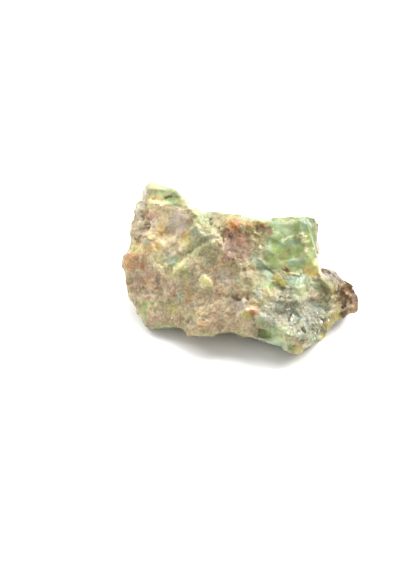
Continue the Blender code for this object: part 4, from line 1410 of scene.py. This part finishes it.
# A brown tint where the textures sink lowest, in the crevices.
stain("brown", CREVICE_SHARE * (1 - waxy) * smooth_step(CREVICE_FROM, CREVICE_TO, texture))
for titles, drawn_luck, share, zone in GRAIN_MIXES:
    scatter(titles, drawn_luck, share * zone)
for title, share, stroke_share in STROKES:
    stain(title, share * stroke_share)
paint[:, :3] *= (1 + GRAIN_CONTRAST * grainy * (luck_grain - 0.5))[:, None]
print(len(GRAIN_MIXES), "mixes of grains and", len(STROKES), "kinds of stroke")

# %% [markdown]
# The grains now cover some marks that are clean and sharp on the real stone, so those are laid
# once more: yellow edges of opal, white chips, dark pits, and dark lines between the flakes. A
# few wider ones calm a zone that has become too speckled. Some also paint light over shaded
# hollows and the bottom edge, and shade over the lit crest of the right edge.

# %% Sharp marks over the grains
SHARP = [
    ("pale_green", -8.5, 15.1, 3.2, 0.7, 3, 0.8),
    ("khaki", -3.0, 14.5, 4.0, 0.9, -6, 0.8),
    ("pale_green", 3.5, 13.4, 3.6, 0.5, -5, 0.8),
    ("leaf", 17.2, 13.7, 3.2, 0.6, 0, 0.8),
    # White at the tip of the peak: white flake, and painted light where the thin edge glows.
    ("white", -25.2, 19.6, 0.9, 2.0, -10, 0.8),
    ("pale_yellow", -23.6, 20.0, 1.2, 2.0, -20, 0.6),
    ("white", -26.2, 16.4, 0.5, 1.3, 0, 0.8),
    ("cream", -26.2, 13.2, 0.5, 1.7, 0, 0.8),
    ("cream", -25.6, 11.8, 0.8, 0.35, 25, 0.7),
    ("dark_grey", -25.8, 13.8, 0.25, 0.8, 0, 0.8),
    ("dark_grey", -26.0, 15.6, 0.25, 0.4, 0, 0.6),
    ("lilac", -27.4, 13.5, 0.5, 2.4, 0, 0.7),
    ("mauve", -23.7, 14.4, 1.3, 1.3, 0, 0.7),
    ("umber", -24.4, 13.2, 0.35, 0.9, 0, 0.8),
    ("umber", -25.2, 11.2, 1.1, 0.25, 40, 0.8),
    ("brown", -25.0, 8.6, 2.0, 0.2, -5, 0.7),
    ("leaf", -18.2, 18.7, 2.8, 1.2, -30, 0.6),
    ("olive", -17.4, 18.8, 1.8, 0.7, -35, 0.6),
    ("bottle", -18.6, 18.9, 1.2, 0.3, 40, 0.7),
    ("tan", -25.2, 19.2, 0.4, 1.6, 15, 0.6),
    ("amber", -24.3, 18.2, 0.8, 0.8, 0, 0.5),
    ("mauve", -25.4, 10.4, 1.6, 0.5, 30, 0.5),
    ("amber", -20.6, 10.7, 1.6, 1.0, 0, 0.35),
    ("lilac", -16.2, 12.2, 2.3, 3.0, -15, 0.6),
    ("mauve", -15.2, 13.6, 0.6, 1.6, -10, 0.35),
    ("pink_tan", -22.4, 14.4, 1.3, 1.0, 0, 0.6),
    ("khaki", -22.6, 16.5, 1.5, 0.7, -20, 0.6),
    ("amber", -22.8, 6.0, 2.2, 1.1, 0, 0.5),
    ("grey", -24.8, 7.4, 1.4, 0.8, -15, 0.7),
    ("orange", -28.6, 3.2, 1.6, 1.0, 0, 0.45),
    ("rust", -26.2, 1.6, 1.8, 1.2, 0, 0.4),
    ("rust", -25.0, -3.0, 2.6, 1.0, -20, 0.3),
    ("sea", -17.4, 2.2, 1.6, 1.4, 0, 0.6),
    ("grey", -19.2, 3.0, 0.9, 1.5, 0, 0.6),
    ("moss", -18.4, 0.8, 0.9, 0.4, -20, 0.6),
    ("cream", -21.4, 1.2, 1.5, 0.25, -45, 0.8),
    ("pale_yellow", -15.2, 0.8, 1.6, 0.8, 30, 0.6),
    ("white", -15.6, 5.2, 0.5, 0.4, 0, 0.9),
    ("bottle", -13.0, 4.4, 1.4, 0.3, 25, 0.8),
    ("lemon", -13.6, 7.0, 1.2, 1.2, 0, 0.4),
    ("amber", -14.6, 8.8, 1.9, 0.5, 42, 0.6),
    ("amber", -3.2, 12.4, 1.4, 0.8, 10, 0.8),
    ("orange", -1.6, 11.6, 1.3, 1.5, 0, 0.7),
    ("amber", 3.2, 12.2, 3.4, 0.6, -4, 0.8),
    ("brown", -0.2, 6.8, 3.6, 3.6, 0, 0.5),
    ("rust", 0.8, 8.6, 1.4, 1.6, 0, 0.4),
    ("umber", -2.3, 8.6, 0.5, 1.4, 0, 0.7),
    ("umber", -1.9, 4.9, 1.3, 0.5, 0, 0.6),
    ("umber", 0.8, 4.4, 0.7, 0.5, 0, 0.5),
    ("orange", -4.6, 2.6, 0.9, 0.4, -35, 0.7),
    ("black", -7.6, 12.1, 0.35, 0.3, 0, 0.9),
    ("black", -7.6, 13.6, 0.25, 0.35, 0, 0.8),
    ("white", 5.2, 6.3, 0.4, 0.14, -35, 0.8),
    ("leaf", 16.4, 8.4, 1.8, 1.6, 0, 0.5),
    ("cream", 15.6, 9.4, 0.9, 0.2, 40, 0.9),
    ("white", 16.5, 9.5, 0.8, 0.16, -40, 0.9),
    ("cream", 16.0, 8.3, 1.2, 0.2, -42, 0.9),
    ("pale_yellow", 17.4, 8.8, 0.9, 0.2, 50, 0.9),
    ("cream", 17.0, 7.6, 0.9, 0.2, 20, 0.9),
    ("amber", 16.2, 8.9, 0.5, 0.3, 0, 0.6),
    ("cream", 17.3, 5.2, 0.5, 0.6, 0, 0.7),
    ("rust", 12.4, 0.0, 1.3, 0.4, -28, 0.7),
    ("umber", 12.1, 0.1, 0.9, 0.3, -28, 0.6),
    ("pale_green", 14.0, 5.8, 1.8, 0.8, 0, 0.4),
    ("pale_yellow", 19.4, 0.7, 1.6, 1.2, 0, 0.5),
    ("amber", 18.4, -0.6, 0.8, 0.4, 0, 0.6),
    ("bottle", 15.4, -1.1, 1.7, 0.25, 10, 0.8),
    ("sea", 15.0, -2.7, 2.8, 1.3, 0, 0.8),
    ("lemon", 10.3, -2.8, 1.9, 0.9, -25, 0.8),
    ("leaf", 8.0, -4.2, 1.8, 1.1, -20, 0.7),
    ("amber", 8.0, -5.8, 1.2, 0.5, 0, 0.5),
    ("sea", 6.2, 0.4, 0.8, 2.2, 30, 0.7),
    ("tan", 2.8, -0.8, 2.4, 1.8, 0, 0.5),
    ("khaki", 4.4, -2.2, 2.8, 1.7, -10, 0.6),
    ("brown", 2.0, 0.2, 0.8, 0.3, 20, 0.5),
    ("moss", 4.9, -3.0, 0.6, 0.3, -20, 0.5),
    ("leaf", 7.4, -1.2, 0.9, 1.6, 20, 0.5),
    ("blue_grey", 4.6, -5.8, 1.3, 0.9, 0, 0.7),
    ("white", 12.6, -4.9, 0.5, 0.8, 30, 0.8),
    # Umber and cream on the same ledge: painted shadow and painted light on its step.
    ("umber", 11.2, -7.3, 1.9, 0.15, 3, 0.8),
    ("cream", 11.6, -7.8, 2.2, 0.2, 0, 0.8),
    ("white", 7.4, -12.4, 1.8, 0.7, -30, 0.6),
    ("lilac", 10.9, -12.6, 1.0, 1.0, 0, 0.5),
    ("cream", 20.4, -15.2, 0.9, 1.4, -20, 0.8),
    ("mustard", 24.6, -12.4, 2.1, 1.0, 25, 0.9),
    ("mustard", 23.2, -14.6, 1.3, 1.1, 35, 0.9),
    ("lemon", 21.9, -17.3, 0.6, 1.2, -30, 0.8),
    # Leaf and sea green over the crest of the right edge: painted shade where the lamp at the right
    # catches the crest.
    ("leaf", 18.8, 9.6, 6.2, 0.5, -78, 0.8),
    ("sea", 18.4, 12.0, 1.6, 0.5, -78, 0.5),
    # Lilac over the top of the knob once more: its colour, and painted light over the shade in the
    # hollow there.
    ("lilac", 23.6, -1.2, 3.2, 1.2, -33, 0.9),
    ("grey", 23.0, -0.4, 1.4, 0.5, -33, 0.4),
    ("mauve", 25.6, -2.7, 1.8, 0.5, -33, 0.6),
    ("orange", 30.0, -7.6, 1.3, 3.0, 8, 0.45),
    ("brown", 30.2, -7.6, 1.2, 3.0, 8, 0.5),
    ("sea", 20.6, -4.4, 1.9, 1.4, 0, 0.45),
    ("pink_tan", 19.2, -7.4, 1.4, 0.25, 15, 0.7),
    ("brown", 28.4, -4.9, 2.2, 0.9, -15, 0.6),
    ("amber", 29.6, -10.4, 1.2, 0.6, 15, 0.6),
    ("olive", 30.4, -5.4, 0.5, 1.2, 0, 0.5),
    ("umber", 27.4, -11.6, 1.1, 0.8, 30, 0.7),
    ("lilac", 28.4, -9.0, 0.5, 1.0, 30, 0.6),
    ("mustard", 23.9, -4.3, 1.6, 1.8, -20, 1.0),
    ("lemon", 24.0, -4.0, 1.0, 1.2, -20, 0.35),
    ("cream", 22.8, -4.0, 0.18, 1.5, 18, 0.7),
    ("cream", 25.2, -4.3, 0.18, 1.4, -8, 0.8),
    ("cream", 23.9, -2.7, 1.3, 0.18, -10, 0.7),
    ("umber", 25.7, -4.9, 0.25, 1.4, -5, 0.6),
    ("moss", 23.4, -6.2, 1.0, 0.4, -10, 0.6),
    ("rust", 3.4, -11.3, 1.3, 0.8, 30, 0.8),
    ("lemon", 1.8, -12.1, 1.1, 0.6, 0, 0.8),
    ("white", 0.5, -11.3, 1.4, 0.35, 30, 0.8),
    # Mint and pale grey painted lighter as bounce light from the table, then moss and leaf painted over
    # the shade of the hollow above the edge.
    ("mint", 9.0, -18.5, 3.2, 1.0, -30, 0.6),
    ("pale_grey", 8.6, -19.8, 3.4, 0.5, -32, 0.7),
    ("moss", 7.2, -16.9, 2.5, 1.1, -20, 0.55),
    ("leaf", 6.9, -17.2, 1.3, 0.8, -15, 0.4),
    ("moss", 13.0, -20.5, 0.8, 0.8, 0, 0.8),
    ("lemon", 15.3, -21.0, 1.2, 0.6, 0, 0.7),
    ("umber", 14.2, -20.2, 0.4, 0.5, 0, 0.7),
    ("umber", 16.6, -18.2, 0.8, 0.3, 20, 0.7),
    ("cream", 17.6, -19.8, 1.2, 0.4, 15, 0.6),
    ("khaki", 15.4, -18.8, 1.2, 0.5, 0, 0.6),
    ("black", 13.2, -14.5, 0.8, 0.25, -10, 0.8),
    ("black", 16.7, -15.6, 0.45, 0.35, 0, 0.7),
    ("umber", 21.8, -13.8, 0.35, 1.0, 10, 0.7),
    # Painted shade at the top of the hollow above the bottom edge.
    ("umber", 3.8, -14.6, 1.0, 0.2, -40, 0.8),
]
lay(SHARP)
print(len(SHARP), "marks")

# %% [markdown]
# Last, whole zones get lighter or darker by a share, laid over the finished paint. Most of
# this is painted light and shade: the left of the face is painted lighter, because it turns
# away from the lamps, and the sugary corner and the knob are painted darker, because the strong
# lamp at the right lights them. Some more paint light over shaded hollows and the bottom edge, or
# shade over a lit crest; the rest set the tone of single patches. The hidden sides are painted
# darker as well, as painted shade, because the lamps stand behind the stone. Each entry is x, y,
# half length, half width, turn in degrees and that share.

# %% Paint light and shade over the zones
PAINTED_LIGHT_BLUR = 0.6
PAINTED_LIGHT_AND_TONE = [
    # Painted light: the left of the face turns away from the lamps, so it is painted lighter in these
    # four.
    (-20.5, 11.5, 8.0, 8.0, 0, 0.42),
    (-24.5, -3.5, 6.0, 6.5, 0, 0.26),
    (-19.0, 2.0, 4.0, 4.0, 0, 0.15),
    (-25.0, -11.0, 2.5, 3.5, 0, 0.15),
    (-17.4, 18.8, 3.0, 1.8, -35, -0.40),
    (-22.0, 20.4, 3.5, 2.0, -15, -0.10),
    (-26.6, 8.8, 1.6, 1.4, 0, -0.25),
    (-7.5, 13.8, 3.5, 1.4, 0, -0.15),
    (18.0, 12.6, 2.2, 1.4, 0, -0.15),
    # Painted light over the whole left of the face, for the same reason.
    (-22.0, -4.0, 12.0, 16.0, 0, 0.09),
    (4.3, -2.6, 2.6, 1.8, 0, -0.22),
    (6.4, 0.4, 1.5, 2.6, 30, -0.15),
    (-1.6, 11.6, 2.4, 2.0, 0, -0.20),
    (3.2, 10.8, 2.8, 1.6, 0, -0.08),
    # Painted shade over the crest of the right edge, where the lamp at the right catches it.
    (18.8, 9.6, 6.2, 0.8, -78, -0.35),
    (24.6, -1.8, 2.9, 1.5, -38, -0.46),
    # Painted light over the shade in the hollow beside the top of the knob.
    (21.8, 0.0, 1.2, 0.8, -33, 0.35),
    (22.0, -2.0, 0.9, 2.4, 30, -0.25),
    (22.3, -7.8, 2.4, 2.4, 0, 0.24),
    # Painted light on the bottom edge, as bounce light from the white table.
    (9.4, -17.6, 1.8, 1.4, -20, 0.10),
    (0.4, 7.0, 3.2, 3.2, 0, -0.12),
    (2.8, -0.6, 2.6, 2.0, 0, -0.12),
    (15.4, -6.2, 2.0, 2.4, 0, -0.10),
    (9.4, -6.0, 2.0, 1.2, 0, -0.18),
    (23.8, -4.2, 1.6, 1.8, -25, -0.40),
    (15.2, -19.6, 3.0, 2.0, 0, 0.12),
    (-15.8, 12.2, 2.8, 3.2, -10, 0.08),
    (-22.5, -5.2, 2.6, 2.0, 0, 0.10),
    (-2.0, -8.5, 4.5, 3.5, 0, 0.07),
    (27.2, -8.0, 1.7, 3.4, 15, 0.35),
    (-9.5, 11.0, 4.0, 4.5, 0, -0.15),
    (-0.5, 8.0, 4.2, 5.6, 0, -0.15),
    (-9.1, -3.1, 2.0, 1.5, 0, 0.22),
    (13.5, 4.5, 6.0, 4.5, 0, 0.25),
    # Painted light over the shadow band under the green ledge.
    (18.8, 0.0, 2.4, 2.2, 0, 0.25),
    (11.0, -3.2, 5.5, 2.6, -8, -0.15),
    # Painted light on the bottom edge, as bounce light from the white table.
    (9.0, -17.0, 4.5, 3.0, -30, 0.42),
    # Painted shade: the sugary corner and the knob face the strong lamp at the right, so these three
    # are painted darker.
    (18.5, -13.5, 5.0, 5.0, 0, -0.36),
    (24.2, -9.5, 3.2, 6.0, 0, -0.25),
    (30.2, -8.0, 1.4, 3.6, 5, -0.55),
]
# Painted shade: the hidden sides are painted darker.
HIDDEN_PAINTED_SHADE = -0.28
light_and_tone = 1 + HIDDEN_PAINTED_SHADE * hidden
for x, y, half_long, half_wide, turn, share in PAINTED_LIGHT_AND_TONE:
    light_and_tone *= 1 + share * oval(x, y, half_long, half_wide, turn, PAINTED_LIGHT_BLUR) * face_share
paint[:, :3] *= light_and_tone[:, None]
print(len(PAINTED_LIGHT_AND_TONE), "glazes")

# %% [markdown]
# ### Handing the paint to the material
# A material can't see Python's arrays, so the paint goes onto the mesh as attributes, with one
# value for each point: a colour, and the four shares that the nodes read by name.

# %% Put the colours on the skin
colour_layer = stone.data.attributes.new("stone_colour", "FLOAT_COLOR", "POINT")
rgba = np.ones((place_count, 4))
rgba[:, :3] = paint[:, :3]
colour_layer.data.foreach_set("color", rgba.ravel())
skin_values = {"rough": paint[:, 3], "milky": paint[:, 4], "grainy": grainy, "sugary": sugary}
for title, values in skin_values.items():
    layer = stone.data.attributes.new(title, "FLOAT", "POINT")
    layer.data.foreach_set("value", values)
print("mean colour", paint[:, :3].mean(axis=0).round(3))

# %% [markdown]
# ## The stone's material
# Opal is a gel of silica and water: clear to milky, with a waxy shine and an IOR of 1.45. Light
# goes a millimetre into it, so thin green edges glow. The painted values carry the colours. The
# nodes add what is finer than the skin's net: angular grains of half a millimetre, and a bump of
# the same size. The real grains are finer still, and are drawn this coarse so that they show.

# %% Node helper and the painted layers
def add_node(tree, kind, settings=(), links=()):
    """Adds a node, sets its fields or sockets by name or place, and links sockets to it."""
    node = tree.nodes.new(kind)
    for title, value in dict(settings).items():
        if isinstance(title, str) and hasattr(node, title):
            setattr(node, title, value)
        else:
            node.inputs[title].default_value = value
    for title, source in dict(links).items():
        tree.links.new(source, node.inputs[title])
    return node


opal = bpy.data.materials.new("rough_opal_waxy_and_crusted")
opal.use_nodes = True
tree = opal.node_tree
shader = tree.nodes["Principled BSDF"]
where = add_node(tree, "ShaderNodeTexCoord").outputs["Object"]
painted = add_node(tree, "ShaderNodeAttribute", {"attribute_name": "stone_colour"}).outputs["Color"]
layers = {}
for title in skin_values:
    layers[title] = add_node(tree, "ShaderNodeAttribute", {"attribute_name": title}).outputs["Fac"]
print("painted layers: stone_colour,", ", ".join(layers))

# %% [markdown]
# Each cell of a Voronoi texture has a random colour. Its red makes a grain lighter or darker, and
# only grains with a high green turn clear white, as painted glints on the sugary parts.

# %% Grains and painted glints
CRYSTAL_MM = 0.50
GRAIN_LIGHT = 0.26
GRAIN_TINT = (0.16, 0.10, 0.12)
DUST_MM = 0.40
DUST_LIGHT = 0.14
GLINT_FROM, GLINT_TO = 0.985, 0.992
PAINTED_GLINT_COLOUR = [LIGHT_SHARE * part for part in linear("#f6f4ea")] + [1]
crystals = add_node(
    tree,
    "ShaderNodeTexVoronoi",
    {"Scale": 1 / (CRYSTAL_MM * MM)},
    {"Vector": where},
)
luck = add_node(tree, "ShaderNodeSeparateColor", links={"Color": crystals.outputs["Color"]})
dust = add_node(
    tree,
    "ShaderNodeTexNoise",
    {"Scale": 1 / (DUST_MM * MM), "Detail": 3.0, "Roughness": 0.6},
    {"Vector": where},
).outputs["Fac"]
grain_light = add_node(
    tree,
    "ShaderNodeMapRange",
    {"To Min": -GRAIN_LIGHT, "To Max": GRAIN_LIGHT},
    {"Value": luck.outputs["Red"]},
).outputs["Result"]
dust_light = add_node(
    tree,
    "ShaderNodeMapRange",
    {"From Min": 0.3, "From Max": 0.7, "To Min": 1 - DUST_LIGHT, "To Max": 1 + DUST_LIGHT},
    {"Value": dust},
).outputs["Result"]
lightness = add_node(
    tree,
    "ShaderNodeMath",
    {"operation": "MULTIPLY_ADD"},
    {0: grain_light, 1: layers["grainy"], 2: dust_light},
).outputs["Value"]
grained = add_node(
    tree,
    "ShaderNodeVectorMath",
    {"operation": "SCALE"},
    {"Vector": painted, "Scale": lightness},
).outputs["Vector"]
# Painted glints: white in the base colour on the few grains with the highest green, in the sugary
# parts.
glint_grain = add_node(
    tree,
    "ShaderNodeMapRange",
    {"From Min": GLINT_FROM, "From Max": GLINT_TO},
    {"Value": luck.outputs["Green"]},
).outputs["Result"]
painted_glint = add_node(
    tree,
    "ShaderNodeMath",
    {"operation": "MULTIPLY"},
    {0: glint_grain, 1: layers["sugary"]},
).outputs["Value"]
tint = add_node(
    tree,
    "ShaderNodeVectorMath",
    {"operation": "MULTIPLY_ADD", 1: GRAIN_TINT, 2: [1 - part / 2 for part in GRAIN_TINT]},
    {0: crystals.outputs["Color"]},
).outputs["Vector"]
tinted = add_node(
    tree,
    "ShaderNodeVectorMath",
    {"operation": "MULTIPLY"},
    {0: grained, 1: tint},
).outputs["Vector"]
with_painted_glints = add_node(
    tree,
    "ShaderNodeMix",
    {"data_type": "RGBA", 7: PAINTED_GLINT_COLOUR},
    {0: painted_glint, 6: tinted},
).outputs[2]
tree.links.new(with_painted_glints, shader.inputs["Base Color"])
print("grains every", CRYSTAL_MM, "mm")

# %% [markdown]
# The milky opal lets light in, so its subsurface weight follows the milkiness. The roughness
# follows the paint. The bump gives every grain its own small facet.

# %% Depth, shine and bump
SOAK_SHARE = 0.45
SOAK_MM = 0.8
SOAK_COLOUR = (0.9, 1.0, 0.6)
OPAL_IOR = 1.45
SURFACE_GLOSS = 0.38
BUMP_MM = 0.09
BUMP_STRENGTH = 0.7
soak = add_node(
    tree,
    "ShaderNodeMath",
    {"operation": "MULTIPLY", 1: SOAK_SHARE},
    {0: layers["milky"]},
).outputs["Value"]
tree.links.new(soak, shader.inputs["Subsurface Weight"])
shader.inputs["Subsurface Radius"].default_value = SOAK_COLOUR
shader.inputs["Subsurface Scale"].default_value = SOAK_MM * MM
shader.inputs["IOR"].default_value = OPAL_IOR
shader.inputs["Specular IOR Level"].default_value = SURFACE_GLOSS
tree.links.new(layers["rough"], shader.inputs["Roughness"])
facets = add_node(
    tree,
    "ShaderNodeMath",
    {"operation": "MULTIPLY_ADD"},
    {0: crystals.outputs["Distance"], 1: layers["grainy"], 2: dust},
).outputs["Value"]
bump = add_node(
    tree,
    "ShaderNodeBump",
    {"Strength": BUMP_STRENGTH, "Distance": BUMP_MM * MM},
    {"Height": facets},
).outputs["Normal"]
tree.links.new(bump, shader.inputs["Normal"])
stone.data.materials.append(opal)
print("material:", opal.name, "with", len(tree.nodes), "nodes")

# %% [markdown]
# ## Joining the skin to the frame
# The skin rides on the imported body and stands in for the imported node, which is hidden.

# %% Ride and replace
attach(stone, "root")
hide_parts("opal")
print("the skin rides on root")

# %% [markdown]
# ## The table, the light and the camera
# The photographer used a white table under a wide soft light, and exposed it until the table
# burned out. So the floor is a plain white board, large enough that its edge never shows, and
# painted matt, so that it mirrors nothing of the stone.

# %% White floor
FLOOR_SIZE = 6.0
FLOOR_WHITE = (0.86, 0.86, 0.86, 1)
FLOOR_ROUGHNESS = 0.9
floor_bm = bmesh.new()
bmesh.ops.create_grid(floor_bm, x_segments=1, y_segments=1, size=FLOOR_SIZE / 2)
floor_mesh = bpy.data.meshes.new("white_table")
floor_bm.to_mesh(floor_mesh)
floor_bm.free()
floor = bpy.data.objects.new("white_table", floor_mesh)
bpy.context.scene.collection.objects.link(floor)
white_board = bpy.data.materials.new("white_matt_board")
white_board.use_nodes = True
board_shader = white_board.node_tree.nodes["Principled BSDF"]
board_shader.inputs["Base Color"].default_value = FLOOR_WHITE
board_shader.inputs["Roughness"].default_value = FLOOR_ROUGHNESS
floor.data.materials.append(white_board)
print("floor", FLOOR_SIZE, "m wide")

# %% [markdown]
# The sky is plain white as well. It looks fully white in the picture, but lights the stone a
# little less than that, so that the colours don't burn out with the table.

# %% White sky
SKY_LIGHT = 0.80
SKY_SEEN = 1.0
sky = bpy.data.worlds.new("white_room")
sky.use_nodes = True
background = sky.node_tree.nodes["Background"]
background.inputs["Color"].default_value = (1, 1, 1, 1)
seen = add_node(sky.node_tree, "ShaderNodeLightPath").outputs["Is Camera Ray"]
sky_strength = add_node(
    sky.node_tree,
    "ShaderNodeMapRange",
    {"To Min": SKY_LIGHT, "To Max": SKY_SEEN},
    {"Value": seen},
).outputs["Result"]
sky.node_tree.links.new(sky_strength, background.inputs["Strength"])
bpy.context.scene.world = sky
print("the sky lights with", SKY_LIGHT, "and looks like", SKY_SEEN)

# %% [markdown]
# Three soft boxes stand above and behind the stone, the strongest at the right, and leave a weak
# shadow in front of it. Each is a place in metres and a power in watts. The view transform is
# Standard, because the default one would turn the burned-out white into grey.

# %% Three soft boxes
LAMP_SIZE = 0.40
LAMPS = {
    "soft_box_right": ((0.40, 0.22, 0.36), 8.6),
    "soft_box_left": ((-0.40, 0.26, 0.36), 3.0),
    "soft_box_top": ((0.05, 0.22, 0.50), 3.0),
}
for title, (place, watts) in LAMPS.items():
    lamp_data = bpy.data.lights.new(title, "AREA")
    lamp_data.size = LAMP_SIZE
    lamp_data.energy = watts
    lamp = bpy.data.objects.new(title, lamp_data)
    lamp.location = place
    lamp.rotation_euler = (-lamp.location).to_track_quat("-Z", "Y").to_euler()
    bpy.context.scene.collection.objects.link(lamp)
bpy.context.scene.view_settings.view_transform = "Standard"
print(len(LAMPS), "lamps,", LAMP_SIZE, "m wide")

# %% [markdown]
# The camera looks straight at the broad face, 40 degrees down, from 45 cm. The stone sits right
# of the middle and a little above it, so the camera aims at a spot left of and below the face's
# middle.

# %% The camera
IMAGE_WIDE, IMAGE_HIGH = 400, 570
PIXEL = 0.2627 * MM
FACE_MIDDLE_COLUMN, FACE_MIDDLE_ROW = 240, 270
LOOK_DOWN = math.radians(40)
SENSOR_MM = 36
NEAREST_SEEN = 0.01

view_right = Vector((1, 0, 0))
view_up = Vector((0, math.sin(LOOK_DOWN), math.cos(LOOK_DOWN)))
view_back = Vector((0, -math.cos(LOOK_DOWN), math.sin(LOOK_DOWN)))
aim = Vector(FACE_MIDDLE) * MM
aim += view_right * (IMAGE_WIDE / 2 - FACE_MIDDLE_COLUMN) * PIXEL
aim += view_up * (FACE_MIDDLE_ROW - IMAGE_HIGH / 2) * PIXEL
camera_data = bpy.data.cameras.new("camera")
camera = bpy.data.objects.new("camera", camera_data)
camera.location = aim + view_back * EYE_DISTANCE * MM
camera.rotation_euler = (-view_back).to_track_quat("-Z", "Y").to_euler()
camera_data.sensor_fit = "VERTICAL"
camera_data.sensor_height = SENSOR_MM
camera_data.lens = SENSOR_MM * EYE_DISTANCE * MM / (IMAGE_HIGH * PIXEL)
camera_data.clip_start = NEAREST_SEEN
bpy.context.scene.collection.objects.link(camera)
bpy.context.scene.camera = camera
print("lens", round(camera_data.lens, 1), "mm")
